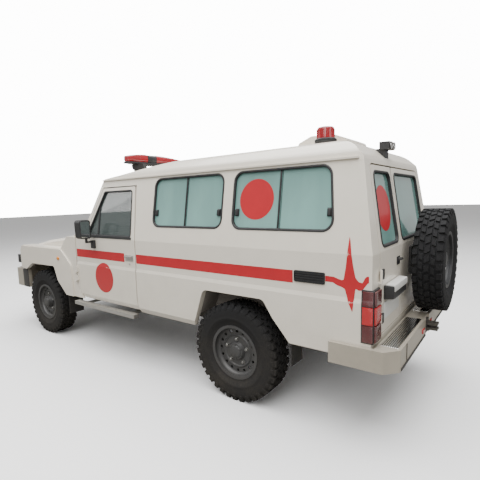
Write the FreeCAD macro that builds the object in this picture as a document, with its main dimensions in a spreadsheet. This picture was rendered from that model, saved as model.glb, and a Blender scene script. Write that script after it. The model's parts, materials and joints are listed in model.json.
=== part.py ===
"""A four-wheel-drive high-roof ambulance, built as an assembly of separate pieces.

Millimetres, +Z up, the nose towards -Y and the vehicle's left side towards +X.
The origin is on the ground, under the middle of the whole vehicle.
"""
import FreeCAD, Part
import math
import os
import re
import Sketcher
from FreeCAD import Rotation, Vector

DOC = FreeCAD.newDocument("ambulance")
DIMS = DOC.addObject("Spreadsheet::Sheet", "dims")

# name, millimetres (or a plain count), what it is
SIZES = [
    ("axle_y", -1730, "front axle, from the middle of the vehicle"),
    ("wheelbase", 2980, "front axle to rear axle"),
    ("track_front", 1512, "wheel centre to wheel centre, front"),
    ("track_rear", 1462, "wheel centre to wheel centre, rear"),
    ("nose", 880, "front bumper, ahead of the front axle"),
    ("body_rear", 4065, "rear door skin, behind the front axle"),
    ("gap", 10, "shut gap round a door"),
    ("fit", 0.3, "gap between pieces that are fitted together"),
    ("half_width", 845, "body side, from the middle"),
    ("wall", 45, "thickness of a body side or door"),
    ("sill_z", 555, "lower edge of the body side"),
    ("tail_z", 595, "lower edge of the side behind the rear wheel"),
    ("crease_low", 975, "lower crease line"),
    ("belt", 1257, "upper crease line, where the side starts to lean in"),
    ("gutter_z", 1850, "roof gutter"),
    ("lean", 112, "how far the side leans in from belt to gutter"),
    ("roof_z", 2040, "top of the roof"),
    ("roof_wall", 30, "thickness of the roof shell"),
    ("door_front", 786, "front edge of the front door, behind the axle"),
    ("door_rear", 1822, "rear edge of the front door, behind the axle"),
    ("door_top_lean", 48, "the rear edge's slope up to the gutter"),
    ("door_base", 575, "lower edge of the front door"),
    ("screen_base", 905, "foot of the windscreen post, behind the axle"),
    ("screen_top", 1210, "head of the windscreen post, behind the axle"),
    ("head_z", 1800, "head of the windscreen"),
    ("glass", 5, "glass thickness"),
    ("window_low", 1400, "lower edge of the side windows"),
    ("window_high", 1822, "upper edge of the side windows"),
    ("window_a", 2076, "first side window, front edge"),
    ("window_b", 2876, "first side window, rear edge"),
    ("window_c", 2991, "second side window, front edge"),
    ("window_d", 3805, "second side window, rear edge"),
    ("window_r", 70, "corner radius of the side windows"),
    ("arch_z", 885, "top of the wheel arches"),
    ("arch_rear_front", 2572, "rear arch, front edge at the sill"),
    ("arch_rear_back", 3500, "rear arch, back edge at the sill"),
    ("wing_front", 590, "front of the wing, ahead of the axle"),
    ("wing_top", 1105, "ledge along the top of the wing"),
    ("wing_wall", 25, "thickness of the wing"),
    ("bonnet_half", 695, "half width of the bonnet"),
    ("bonnet_wall", 18, "thickness of the bonnet"),
    ("bonnet_back", 720, "rear edge of the bonnet, behind the axle"),
    ("bonnet_hinge", 731, "bonnet hinge, behind the axle"),
    ("bonnet_hinge_z", 1252, "height of the bonnet hinge"),
    ("floor_z", 660, "underside of the floor"),
    ("floor_wall", 30, "thickness of the floor"),
    ("house_x", 575, "inner wall of the rear wheel house"),
    ("rail_in", 330, "chassis rail, inner face"),
    ("rail_out", 410, "chassis rail, outer face"),
    ("rail_z", 500, "chassis rail, underside"),
    ("rail_h", 130, "chassis rail height"),
    ("tyre_r", 400, "tyre radius"),
    ("tyre_w", 208, "tyre width"),
    ("rim_r", 206, "rim barrel radius, where the tyre sits"),
    ("rim_w", 156, "width of the rim between its flanges"),
    ("rim_t", 8, "thickness of the rim"),
    ("bore_r", 55, "centre bore of the wheel"),
    ("vent_count", 16, "vent holes round the wheel"),
    ("kingpin_x", 662, "steering axis, from the middle"),
    ("axle_r", 45, "radius of an axle tube"),
    ("drum_r", 150, "radius of a brake drum"),
    ("post_x", 690, "inner face of the rear corner post"),
    ("split_x", 180, "where the two rear doors meet"),
    ("door_bottom", 715, "lower edge of the rear doors"),
    ("door_head", 1815, "upper edge of the rear doors"),
    ("rear_lean", 92, "the rear leans forward from belt to gutter"),
    ("hinge_r", 8, "radius of a hinge barrel"),
    ("lamp_low", 712, "tail lamp, lower edge"),
    ("lamp_high", 1042, "tail lamp, upper edge"),
    ("bumper_z", 690, "top of the rear step bumper"),
    ("bumper_rear", 4225, "rear face of the rear bumper"),
    ("bumper_half", 885, "half width of the rear bumper"),
    ("spare_x", -222, "spare wheel, from the middle"),
    ("spare_z", 1102, "centre height of the spare wheel"),
    ("spare_y", 4236, "centre plane of the spare wheel"),
    ("step_z", 500, "underside of the side step"),
    ("hitch_r", 13, "radius of the tow pin hole"),
    ("eye_r", 13, "radius of the front recovery eyes"),
]
for row, (alias, size, note) in enumerate(SIZES, 1):
    DIMS.set(f"A{row}", note)
    DIMS.set(f"B{row}", str(size))
    DIMS.setAlias(f"B{row}", alias)
DOC.recompute()
ALIASES = re.compile(r"\b(" + "|".join(name for name, _, _ in SIZES) + r")\b")
NODES = {}


def bound(text):
    """The expression with each size's name pointed at the sheet."""
    return ALIASES.sub(r"dims.\1", str(text))


def val(text):
    """What an expression of sizes comes to."""
    return float(DIMS.evalExpression(bound(text)))


def node(name, thing):
    """Names the object that is this sub-part."""
    thing.Label = name
    NODES[name] = thing
    return thing


def place(thing, x=0, y=0, z=0):
    for axis, text in zip("xyz", (x, y, z)):
        thing.setExpression(f"Placement.Base.{axis}", bound(text))
    return thing


def behind(y):
    """A distance behind the front axle, as a place along Y."""
    return f"axle_y + ({y})"


def box(x0, x1, y0, y1, z0, z1):
    """A box between two corners. Y is behind the front axle."""
    made = DOC.addObject("Part::Box", "box")
    for side, low, high in (("Length", x0, x1), ("Width", y0, y1), ("Height", z0, z1)):
        made.setExpression(side, bound(f"({high}) - ({low})"))
    return place(made, x0, behind(y0), z0)


TURN = {"x": Rotation(Vector(0, 1, 0), 90), "y": Rotation(Vector(1, 0, 0), -90), "z": Rotation()}


def rod(along, radius, start, length, x=0, y=0, z=0, top_radius=None):
    """A cylinder or cone along an axis, from start for length. Y as for a box."""
    made = DOC.addObject("Part::Cone" if top_radius else "Part::Cylinder", "rod")
    made.Placement.Rotation = TURN[along]
    made.setExpression("Height", bound(length))
    made.setExpression("Radius1" if top_radius else "Radius", bound(radius))
    if top_radius:
        made.setExpression("Radius2", bound(top_radius))
    at = {"x": x, "y": y, "z": z}
    at[along] = start
    at["y"] = behind(at["y"])
    return place(made, **at)


def join(*things):
    if len(things) == 1:
        return things[0]
    made = DOC.addObject("Part::MultiFuse", "join")
    made.Shapes = list(things)
    return made


def group(*things):
    """Separate solids that share a node."""
    made = DOC.addObject("Part::Compound", "group")
    made.Links = list(things)
    return made


def cut(base, *tools):
    made = DOC.addObject("Part::Cut", "cut")
    made.Base = base
    made.Tool = tools[0] if len(tools) == 1 else join(*tools)
    return made


def common(first, second):
    made = DOC.addObject("Part::Common", "common")
    made.Base, made.Tool = first, second
    return made


def mirror(thing):
    """The same piece on the vehicle's other side."""
    made = DOC.addObject("Part::Mirroring", "mirror")
    made.Source = thing
    made.Normal = Vector(1, 0, 0)
    return made


def both(thing):
    return group(thing, mirror(thing))


def draw(sketch, points):
    """Draws a closed outline in a sketch, fully constrained to the sheet.

    A point is (u, v) or (u, v, corner radius), each an expression.
    """
    at = [Vector(val(p[0]), val(p[1]), 0) for p in points]
    radius = [val(p[2]) if len(p) > 2 else 0 for p in points]
    count = len(points)
    corner = []
    for i in range(count):
        back = (at[i - 1] - at[i]).normalize()
        ahead = (at[(i + 1) % count] - at[i]).normalize()
        half = back.getAngle(ahead) / 2
        reach = radius[i] / max(1e-9, abs(math.tan(half)))
        corner.append((at[i] + back * reach, at[i] + ahead * reach, back, ahead, half))
    lines = [
        sketch.addGeometry(Part.LineSegment(corner[i][1], corner[(i + 1) % count][0]))
        for i in range(count)
    ]

    def pin(kind, geometry, position, text):
        index = sketch.addConstraint(
            Sketcher.Constraint(kind, -1, 1, geometry, position, val(text))
        )
        sketch.setExpression(f"Constraints[{index}]", bound(text))

    for i, point in enumerate(points):
        before, after = lines[i - 1], lines[i]
        if not radius[i]:
            sketch.addConstraint(Sketcher.Constraint("Coincident", before, 2, after, 1))
            pin("DistanceX", after, 1, point[0])
            pin("DistanceY", after, 1, point[1])
            continue
        start, end, back, ahead, half = corner[i]
        centre = at[i] + (back + ahead).normalize() * (radius[i] / math.sin(half))
        middle = centre + (at[i] - centre).normalize() * radius[i]
        arc = sketch.addGeometry(Part.Arc(start, middle, end))
        turn_left = back.cross(ahead).z < 0
        first, last = (1, 2) if turn_left else (2, 1)
        mark = sketch.addGeometry(Part.Point(at[i]), True)
        pin("DistanceX", mark, 1, point[0])
        pin("DistanceY", mark, 1, point[1])
        sketch.addConstraint(Sketcher.Constraint("PointOnObject", mark, 1, before))
        sketch.addConstraint(Sketcher.Constraint("PointOnObject", mark, 1, after))
        sketch.addConstraint(Sketcher.Constraint("Tangent", before, 2, arc, first))
        sketch.addConstraint(Sketcher.Constraint("Tangent", arc, last, after, 1))
        index = sketch.addConstraint(Sketcher.Constraint("Radius", arc, radius[i]))
        sketch.setExpression(f"Constraints[{index}]", bound(point[2]))
    return sketch


FACE = {
    "side": (Rotation(Vector(1, 1, 1), 120), Vector(1, 0, 0), "x"),
    "end": (Rotation(Vector(1, 0, 0), 90), Vector(0, 1, 0), "y"),
    "plan": (Rotation(), Vector(0, 0, 1), "z"),
}


def outline(view, points, start, length):
    """A drawn outline made solid: seen from the side, the end or above.

    Every Y, in the outline or the start, is behind the front axle.
    """
    if view == "side":
        points = [(behind(p[0]), *p[1:]) for p in points]
    if view == "plan":
        points = [(p[0], behind(p[1]), *p[2:]) for p in points]
    turn, direction, axis = FACE[view]
    sketch = DOC.addObject("Sketcher::SketchObject", "outline")
    sketch.Placement.Rotation = turn
    sketch.setExpression(
        f"Placement.Base.{axis}", bound(behind(start) if axis == "y" else start)
    )
    draw(sketch, points)
    made = DOC.addObject("Part::Extrusion", "solid")
    made.Base = sketch
    made.DirMode = "Custom"
    made.Dir = direction
    made.Solid = True
    made.setExpression("LengthFwd", bound(length))
    return made


def even(points):
    """Completes an outline that is the same on the vehicle's other side."""
    return points + [(f"-({p[0]})", *p[1:]) for p in reversed(points)]


def tube(along, radius, bore, start, length, x=0, y=0, z=0):
    return cut(
        rod(along, radius, start, length, x, y, z),
        rod(along, bore, f"({start}) - 1", f"({length}) + 2", x, y, z),
    )


# Wheels: a steel rim turned and drilled as a body, and a hollow tyre round it.

def rim(name, hub, x, y, z, turn=0):
    """A rim whose centre plane is at x, y, z; its hub cap sticks out by hub."""
    body = DOC.addObject("PartDesign::Body", "rim")
    plane = {part.Role: part for part in body.Origin.OriginFeatures}
    profile = body.newObject("Sketcher::SketchObject", "profile")
    profile.AttachmentSupport = [(plane["XY_Plane"], "")]
    profile.MapMode = "FlatFace"
    side, barrel = "rim_w / 2", "rim_r - rim_t"
    draw(profile, [
        (f"-({side}) - 9", barrel), (f"-({side}) - 9", "rim_r + 14"),
        (f"-({side})", "rim_r + 14"), (f"-({side})", "rim_r"),
        (side, "rim_r"), (side, "rim_r + 14"),
        (f"{side} + 9", "rim_r + 14"), (f"{side} + 9", barrel),
        ("40", barrel), ("40", "bore_r + 22"),
        (f"30 + {hub}", "bore_r + 8"), (f"30 + {hub}", "0"),
        (f"22 + {hub}", "0"), (f"22 + {hub}", "bore_r"),
        ("30", "bore_r"), ("30", barrel),
    ])
    turned = body.newObject("PartDesign::Revolution", "turned")
    turned.Profile = profile
    turned.ReferenceAxis = (profile, ["H_Axis"])
    turned.Angle = 360
    holes = body.newObject("Sketcher::SketchObject", "holes")
    holes.AttachmentSupport = [(plane["YZ_Plane"], "")]
    holes.MapMode = "FlatFace"
    circle = holes.addGeometry(Part.Circle(Vector(0, 164, 0), Vector(0, 0, 1), 13))
    holes.addConstraint(Sketcher.Constraint("PointOnObject", circle, 3, -2))
    reach = holes.addConstraint(Sketcher.Constraint("DistanceY", -1, 1, circle, 3, 164))
    holes.setExpression(f"Constraints[{reach}]", bound("rim_r - 42"))
    size = holes.addConstraint(Sketcher.Constraint("Radius", circle, 13))
    holes.setExpression(f"Constraints[{size}]", bound("rim_r / 16"))
    vent = body.newObject("PartDesign::Pocket", "vent")
    vent.Profile = holes
    vent.Type = 1
    vent.Midplane = True
    vents = body.newObject("PartDesign::PolarPattern", "vents")
    vents.Originals = [vent]
    vents.Axis = (holes, ["N_Axis"])
    vents.Angle = 360
    vents.setExpression("Occurrences", bound("vent_count"))
    body.Tip = vents
    body.Placement.Rotation = Rotation(Vector(0, 0, 1), turn)
    place(body, x, behind(y), z)
    return node(name, body)


def tyre(name, x, y, z, turn=0):
    profile = DOC.addObject("Sketcher::SketchObject", "profile")
    right = [
        ("rim_w / 2 - fit", "rim_r + fit"),
        ("rim_w / 2 - fit", "rim_r + 24"),
        ("tyre_w / 2", "rim_r + 78", 60),
        ("tyre_w / 2", "tyre_r - 46", 20),
        ("tyre_w / 2 - 16", "tyre_r - 8", 10),
        ("tyre_w / 2 - 60", "tyre_r", 60),
    ]
    left = [(f"-({p[0]})", *p[1:]) for p in reversed(right)]
    inner = [
        ("-(rim_w / 2 - 26)", "rim_r + fit"),
        ("-(tyre_w / 2 - 16)", "rim_r + 70"),
        ("-(tyre_w / 2 - 16)", "tyre_r - 40"),
        ("tyre_w / 2 - 16", "tyre_r - 40"),
        ("tyre_w / 2 - 16", "rim_r + 70"),
        ("rim_w / 2 - 26", "rim_r + fit"),
    ]
    draw(profile, right + left + inner)
    turned = DOC.addObject("Part::Revolution", "tyre")
    turned.Source = profile
    turned.Axis = Vector(1, 0, 0)
    turned.Angle = 360
    turned.Solid = True
    turned.Placement.Rotation = Rotation(Vector(0, 0, 1), turn)
    place(turned, x, behind(y), z)
    return node(name, turned)


for end, y, track, hub in (
    ("front", "0", "track_front", "62"), ("rear", "wheelbase", "track_rear", "34"),
):
    for side, x, turn in (("left", f"{track} / 2", 0), ("right", f"-({track} / 2)", 180)):
        rim(f"rim_{end}_{side}", hub, x, y, "tyre_r", turn)
        tyre(f"tyre_{end}_{side}", x, y, "tyre_r", turn)
rim("spare_rim", "34", "spare_x", "spare_y", "spare_z", 90)
tyre("spare_tyre", "spare_x", "spare_y", "spare_z", 90)

# Axles, springs and the steering knuckles.

axle = join(
    rod("x", "axle_r", "-560", "1120", z="tyre_r"),
    rod("y", "110", "-90", "190", x="160", z="tyre_r"),
    rod("y", "30", "90", "909.7", x="160", z="tyre_r"),
    *[box(f"{low}", f"{low} + 20", "-32", "32", "tyre_r - 95", "tyre_r + 95") for low in (545, -565)],
    *[box(f"{x0}", f"{x1}", "-22", "22", f"tyre_r + {z0}", f"tyre_r + {z0} + 16")
      for z0 in (79, -95) for x0, x1 in (("555", "kingpin_x"), ("-kingpin_x", "-555"))],
    *[rod("z", "24", f"tyre_r + {z0}", "16", x=x) for z0 in (79, -95) for x in ("kingpin_x", "-kingpin_x")],
    *[rod("z", "20", "tyre_r - 95", "190", x=x) for x in ("kingpin_x", "-kingpin_x")],
)
node("front_axle", axle)
node("rear_axle", join(
    rod("x", "axle_r", "-(track_rear / 2) + 20", "track_rear - 40", y="wheelbase", z="tyre_r"),
    rod("y", "130", "wheelbase - 120", "230", x="160", z="tyre_r"),
    rod("y", "38", "1300.3", "wheelbase - 1420.3", x="160", z="tyre_r"),
    *[rod("x", "drum_r", x0, "50", y="wheelbase", z="tyre_r")
      for x0 in ("track_rear / 2 - 68", "-(track_rear / 2) + 18")],
    *[rod("x", "bore_r - 0.05", x0, "76", y="wheelbase", z="tyre_r")
      for x0 in ("track_rear / 2 - 23", "-(track_rear / 2) - 53")],
))
knuckle = cut(
    join(
        rod("z", "40", "tyre_r - 77", "154", x="kingpin_x"),
        rod("x", "45", "kingpin_x", "40", z="tyre_r"),
        rod("x", "drum_r", "kingpin_x + 35", "34", z="tyre_r"),
        rod("x", "bore_r - 0.05", "kingpin_x + 60", "track_front / 2 + 82 - kingpin_x - 60", z="tyre_r"),
    ),
    rod("z", "20.05", "tyre_r - 80", "160", x="kingpin_x"),
)
node("knuckle_left", knuckle)
node("knuckle_right", mirror(knuckle))


def leaf(y, half):
    """A leaf spring under a rail, seated on the axle tube."""
    top = "tyre_r + axle_r + 36"
    return join(
        box("rail_in + 15", "rail_out - 15", f"{y} - {half}", f"{y} + {half}", "tyre_r + axle_r + fit", top),
        *[box("rail_in + 15", "rail_out - 15", f"{y} + ({at})", f"{y} + ({at}) + 40", f"{top} - 2",
              "rail_z - fit") for at in (f"-{half}", f"{half} - 40")],
    )


node("springs", group(
    leaf("0", "560"), mirror(leaf("0", "560")),
    leaf("wheelbase", "640"), mirror(leaf("wheelbase", "640")),
))

# Chassis and what hangs on it.

rail = box("rail_in", "rail_out", "-nose + 90 + fit", "body_rear + 20 - fit", "rail_z", "rail_z + rail_h")
node("chassis_frame", join(
    rail, mirror(rail),
    *[box("-(rail_in + 5)", "rail_in + 5", f"{y}", f"{y} + 60", "rail_z + 20", "rail_z + rail_h - 20")
      for y in (-700, 1500, 2300, 3150, 3750, 4010)],
    *[rod("z", "38", "rail_z + rail_h - 5", "floor_z - rail_z - rail_h + 5 - fit", x=x, y=f"{y}")
      for y in (860, 1700, 2450, 3250, 3950) for x in ("rail_in + 40", "-(rail_in + 40)")],
))
node("engine_gearbox", join(
    box("-230", "230", "-380", "560", "570", "1000"),
    box("-120", "120", "540", "1300", "470", "floor_z - 10"),
    box("60", "250", "1000", "1300", "tyre_r - 60", "tyre_r + 90"),
    *[box("-(rail_in - fit)", "rail_in - fit", f"{y}", f"{y} + 70", "575", "610") for y in (20, 1200)],
))
node("fuel_tank", box("-(rail_in - fit)", "rail_in - fit", "3220", "3740", "470", "floor_z - 15"))
node("exhaust", join(
    rod("y", "26", "1740", "2340", x="-470", z="515"),
    rod("y", "65", "1880", "560", x="-490", z="500"),
    *[box("-470", "-(rail_out + fit)", f"{y}", f"{y} + 30", "505", "525") for y in (1780, 2500, 3700)],
))

# The body: one cross-section for the sides and the front doors.

LEAN = "(lean / (gutter_z - belt))"


def side_section(outer, inner, start, length, low="sill_z"):
    """The body side's section, between two depths in from its outer face."""
    return outline("end", [
        (f"half_width - 22 - {outer}", low),
        (f"half_width - {outer}", f"{low} + 45"),
        (f"half_width - {outer}", "crease_low - 20"),
        (f"half_width - 8 - {outer}", "crease_low + 10"),
        (f"half_width - 9 - {outer}", "belt"),
        (f"half_width - lean - {outer}", "gutter_z"),
        (f"half_width - lean - {inner}", "gutter_z"),
        (f"half_width - 9 - {inner}", "belt"),
        (f"half_width - 9 - {inner}", low),
    ], start, length)


SCREEN = "((screen_top - screen_base) / (head_z - belt))"


def screen(z, back=0):
    """How far back the windscreen post's front edge is at a height."""
    return f"screen_base + {SCREEN} * (({z}) - belt) + {back}"


def rear(z, ahead=0):
    """Where the leaning rear face is at a height above the belt line."""
    return f"body_rear - rear_lean * (({z}) - belt) / (gutter_z - belt) - ({ahead})"


def window(view, points, start, length, shrink=0):
    return outline(view, [(*p, "window_r") for p in points], start, length)


arch = [("arch_rear_front", "sill_z"), ("arch_rear_front + 118", "arch_z", 60), ("3278", "arch_z", 50),
        ("3361", "757"), ("arch_rear_back", "tail_z")]
side = outline("side", [
    ("door_rear + 40", "sill_z"), *arch,
    ("body_rear - wall - fit", "tail_z"), ("body_rear - wall - fit", "belt"),
    (rear("gutter_z", "wall + fit"), "gutter_z"),
    (screen("gutter_z"), "gutter_z"), (screen("belt + 22 + fit"), "belt + 22 + fit"),
    (screen("belt + 22 + fit", 52), "belt + 22 + fit"), (screen("1785", 52), "1785"),
    ("door_rear - door_top_lean + 22", "1785"), ("door_rear + 12", "belt"),
    ("door_rear + 12", "sill_z + 105"),
], "600", "300")
panes = []
for start, end in (("window_a", "window_b"), ("window_c", "window_d")):
    def pane(trim):
        return [(f"{start} + {trim}", f"window_low + {trim}", f"window_r - {trim}"),
                (f"{end} - {trim}", f"window_low + {trim}", f"window_r - {trim}"),
                (f"{end} - 40 - {trim}" if end == "window_d" else f"{end} - {trim}",
                 f"window_high - {trim}", f"window_r - {trim}"),
                (f"{start} + {trim}", f"window_high - {trim}", f"window_r - {trim}")]
    panes.append((outline("side", pane("0"), "600", "300"), outline("side", pane("fit"), "600", "300")))
panel = cut(common(side_section("0", "wall", "850", "3300"), side), *[hole for hole, _ in panes])
node("side_panels", both(panel))


def side_glass(shape, depth="16"):
    """A flat pane a little way in from the leaning part of the body side."""
    at = f"half_width - 9 - {depth}"
    sheet = outline("end", [
        (at, "belt"), (f"{at} - lean + 9", "gutter_z"),
        (f"{at} - lean + 9 - glass", "gutter_z"), (f"{at} - glass", "belt"),
    ], "850", "3200")
    return common(sheet, shape)


node("side_glass", both(group(*[side_glass(pane) for _, pane in panes])))

# Front doors, each with its pane and mirror.

door_outline = outline("side", [
    ("door_front + 97", "door_base"), ("door_rear + 28", "door_base"), ("door_rear", "sill_z + 105"),
    ("door_rear", "belt"), ("door_rear - door_top_lean", "1775"), (screen("1775", 62), "1775"),
    (screen("belt - 10", 62), "belt - 10"), ("door_front", "belt - 10"), ("door_front", "door_base + 137"),
], "600", "300")


def door_pane(trim):
    r = f"28 - {trim}"
    return [(screen("1285", f"100 + {trim}"), f"1285 + {trim}", r),
            (f"door_rear - 62 - {trim}", f"1285 + {trim}", r),
            (f"door_rear - door_top_lean - 42 - {trim}", f"1737 - {trim}", r),
            (screen("1737", f"108 + {trim}"), f"1737 - {trim}", r)]


HINGE_X = "half_width + 14"
HINGE_Y = "door_front - 11"
skin = cut(
    common(side_section("0", "wall", "700", "1250", "door_base"), door_outline),
    outline("side", door_pane("0"), "600", "300"),
)
leaves = [
    cut(
        join(
            rod("z", "7", f"{z}", "70", x=HINGE_X, y=HINGE_Y),
            box("half_width - 4", HINGE_X, "door_front + 2", "door_front + 26", f"{z} + 5", f"{z} + 65"),
            box("half_width + 9", "half_width + 17", HINGE_Y, "door_front + 26", f"{z} + 5", f"{z} + 65"),
        ),
        rod("z", "4", f"{z} - 1", "72", x=HINGE_X, y=HINGE_Y),
    ) for z in (760, 860)
]
door = join(skin, *leaves)
node("front_door_left", door)
node("front_door_right", mirror(door))
pane = side_glass(outline("side", door_pane("fit"), "600", "300"))
node("front_glass_left", pane)
node("front_glass_right", mirror(pane))
glass_x = "half_width + fit"
mirror_left = join(
    box("half_width - 8 + fit", "half_width + 22", "1128", "1176", "1150", "1235"),
    box("half_width + 10", "half_width + 92", "1140", "1164", "1212", "1230"),
    box("half_width + 76", "half_width + 92", "1140", "1164", "1212", "1300"),
    outline("end", [("half_width + 62", "1262", 24), ("half_width + 182", "1262", 36),
                    ("half_width + 186", "1456", 30), ("half_width + 62", "1456", 24)], "1118", "92"),
)
node("mirror_left", mirror_left)
node("mirror_right", mirror(mirror_left))

# Front end: wings, cowl, bonnet, grille and bumper.

wing_shape = [
    ("-wing_front", "800"), ("-wing_front", "wing_top - 45", 30), ("-wing_front + 60", "wing_top", 40),
    ("450", "wing_top"), ("600", "belt - fit"), ("door_front - 10", "belt - fit"),
    ("door_front - 10", "door_base + 133"), ("door_front + 84", "sill_z + 8"), ("534", "sill_z + 8"),
    ("355", "717", 60), ("288", "arch_z", 50), ("-280", "arch_z - 6", 50), ("-440", "790"),
]
flare_shape = [
    ("-wing_front + 12", "800"), ("-wing_front + 12", "wing_top - 60", 30), ("-wing_front + 60", "wing_top - 8", 30),
    ("470", "wing_top - 8", 60), ("668", "935", 80), ("690", "sill_z + 8"), ("534", "sill_z + 8"),
    ("355", "717", 60), ("288", "arch_z", 50), ("-280", "arch_z - 6", 50), ("-440", "790"),
]
lugs = [
    join(
        box("half_width - 6", "half_width + 20", "door_front - 40", "door_front - 5", f"{z} - 10", f"{z} - 3"),
        rod("z", "3.95", f"{z} - 8", "74", x=HINGE_X, y=HINGE_Y),
    ) for z in (760, 860)
]
wing = join(
    cut(
        outline("side", wing_shape, "bonnet_half + 6", "half_width - bonnet_half - 6"),
        box("bonnet_half", "half_width - wing_wall", "-wing_front + 30", "740", "500", "wing_top - wing_wall"),
        box("bonnet_half", "half_width - wing_wall", "door_front - 10", "900", "500", "door_base + 160"),
    ),
    outline("side", flare_shape, "half_width - 10", "27"),
    *lugs,
)
node("wings", both(wing))
cowl_lugs = [
    join(
        *[box(x0, f"{x0} + 9", "bonnet_hinge - 8", "bonnet_hinge + 24", "bonnet_hinge_z - 8", "bonnet_hinge_z + 6")
          for x0 in ("450", "563")],
        rod("x", "3.45", "452", "118", y="bonnet_hinge", z="bonnet_hinge_z"),
    )
]
cowl_left = join(*cowl_lugs)
node("cowl", join(
    box("-(half_width - 11)", "half_width - 11", "bonnet_hinge + 20", screen("belt", 52), "belt", "belt + 22"),
    box("-(bonnet_half + 5)", "bonnet_half + 5", "bonnet_hinge + 20", "bonnet_hinge + 44", "floor_z", "belt + 1"),
    cowl_left, mirror(cowl_left),
))
post = f"half_width - 9 - wall - fit"
node("windscreen", common(
    outline("side", [
        (screen("belt + 22 + fit", 10), "belt + 22 + fit"), (screen("head_z - fit", 10), "head_z - fit"),
        (screen("head_z - fit", 17), "head_z - fit"), (screen("belt + 22 + fit", 17), "belt + 22 + fit"),
    ], "-900", "1800"),
    outline("end", even([(post, "belt"), (f"{post} - lean + 9", "gutter_z")]), "850", "500"),
))


def bonnet_shell(trim, low, front, back):
    """The bonnet's shape, drawn in by trim, from front to back."""
    made = DOC.addObject("Part::Loft", "loft")
    cuts = []
    for y, top, bottom in (
        (back, 1262, 1092), ("450", 1250, 1090), ("-130", 1181, 1060), ("-560", 1102, 1010), (front, 1048, 985),
    ):
        sketch = DOC.addObject("Sketcher::SketchObject", "section")
        sketch.Placement.Rotation = FACE["end"][0]
        sketch.setExpression("Placement.Base.y", bound(behind(y)))
        draw(sketch, even([
            (f"bonnet_half - {trim}", f"{bottom} - {low}"),
            (f"bonnet_half - {trim}", f"{top} - 46 - {trim}"),
            (f"bonnet_half - 34 - {trim}", f"{top} - 16 - {trim}"),
            (f"bonnet_half / 2", f"{top} - {trim}"),
        ]))
        cuts.append(sketch)
    made.Sections = cuts
    made.Solid = True
    made.Ruled = True
    return made


barrel = cut(
    join(
        rod("x", "6.5", "462", "98", y="bonnet_hinge", z="bonnet_hinge_z"),
        box("464", "558", "bonnet_back - 14", "bonnet_hinge", "bonnet_hinge_z - 6", "bonnet_hinge_z + 1"),
    ),
    rod("x", "3.5", "460", "102", y="bonnet_hinge", z="bonnet_hinge_z"),
)
node("bonnet", join(
    cut(
        bonnet_shell("0", "0", "-nose + 108", "bonnet_back"),
        bonnet_shell("bonnet_wall", "10", "-nose + 130", "bonnet_back - 16"),
    ),
    barrel, mirror(barrel),
))
slots = [
    box("-400", "400", "-nose + 100", "-nose + 160", f"{z}", f"{z} + 16") for z in range(830, 951, 30)
]
node("grille", cut(
    join(
        box("-(bonnet_half - 4)", "bonnet_half - 4", "-nose + 115", "-nose + 150", "782", "972"),
        *[box(x0, x1, "-nose + 115", "-nose + 170", "rail_z + rail_h + fit", "790")
          for x0, x1 in (("rail_in", "rail_out"), ("-rail_out", "-rail_in"))],
        *[box(x0, x1, "-nose + 125", "-wing_front - fit", "850", "960")
          for x0, x1 in (("bonnet_half - 30", "half_width - 20"), ("-half_width + 20", "-bonnet_half + 30"))],
    ),
    *slots,
))
lamp = rod("y", "88", "-nose + 90", "25 - fit", x="545", z="876")
node("headlamps", both(lamp))
node("front_bumper", outline("plan", even([
    ("half_width - 95", "-nose"), ("half_width - 15", "-nose + 70", 40), ("half_width - 15", "-470"),
    ("half_width - 55", "-470"), ("half_width - 55", "-nose + 90"),
]), "530", "240"))

# Floor with its wheel houses, and the roof.

house = [(f"arch_rear_front - 20", "sill_z + 40"), ("arch_rear_front + 98", "arch_z + 22"),
         ("3290", "arch_z + 22"), ("3380", "768"), ("arch_rear_back + 20", "floor_z")]
floor_x = "half_width - 9 - wall - fit"


def wheel_house():
    lower = "floor_z"
    outer = [("arch_rear_front + 15", lower), ("arch_rear_front + 98", "arch_z + 22"), ("3290", "arch_z + 22"),
             ("3380", "768"), ("3472", lower)]
    inner = [("arch_rear_front + 38", "floor_z - 1"), ("arch_rear_front + 120", "arch_z"), ("3272", "arch_z"),
             ("3360", "757"), ("3440", "floor_z - 1")]
    return (outline("side", outer, "house_x", f"{floor_x} - house_x"),
            outline("side", inner, "house_x + 20", "300"))


outside, inside = wheel_house()
floor_half = [
    ("house_x", "door_front - 10 + fit"), ("half_width - 57", "door_front - 10 + fit"),
    ("half_width - 57", "door_rear + 20"), (floor_x, "door_rear + 20"), (floor_x, "body_rear - wall - fit"),
]
sill = box("half_width - 145", "half_width - 62", "door_front + 20", "door_rear + 20", "sill_z + 15", "floor_z + 5")
node("floor_pan", cut(
    join(outline("plan", even(floor_half), "floor_z", "floor_wall"), outside, mirror(outside), sill, mirror(sill)),
    inside, mirror(inside),
))


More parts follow.
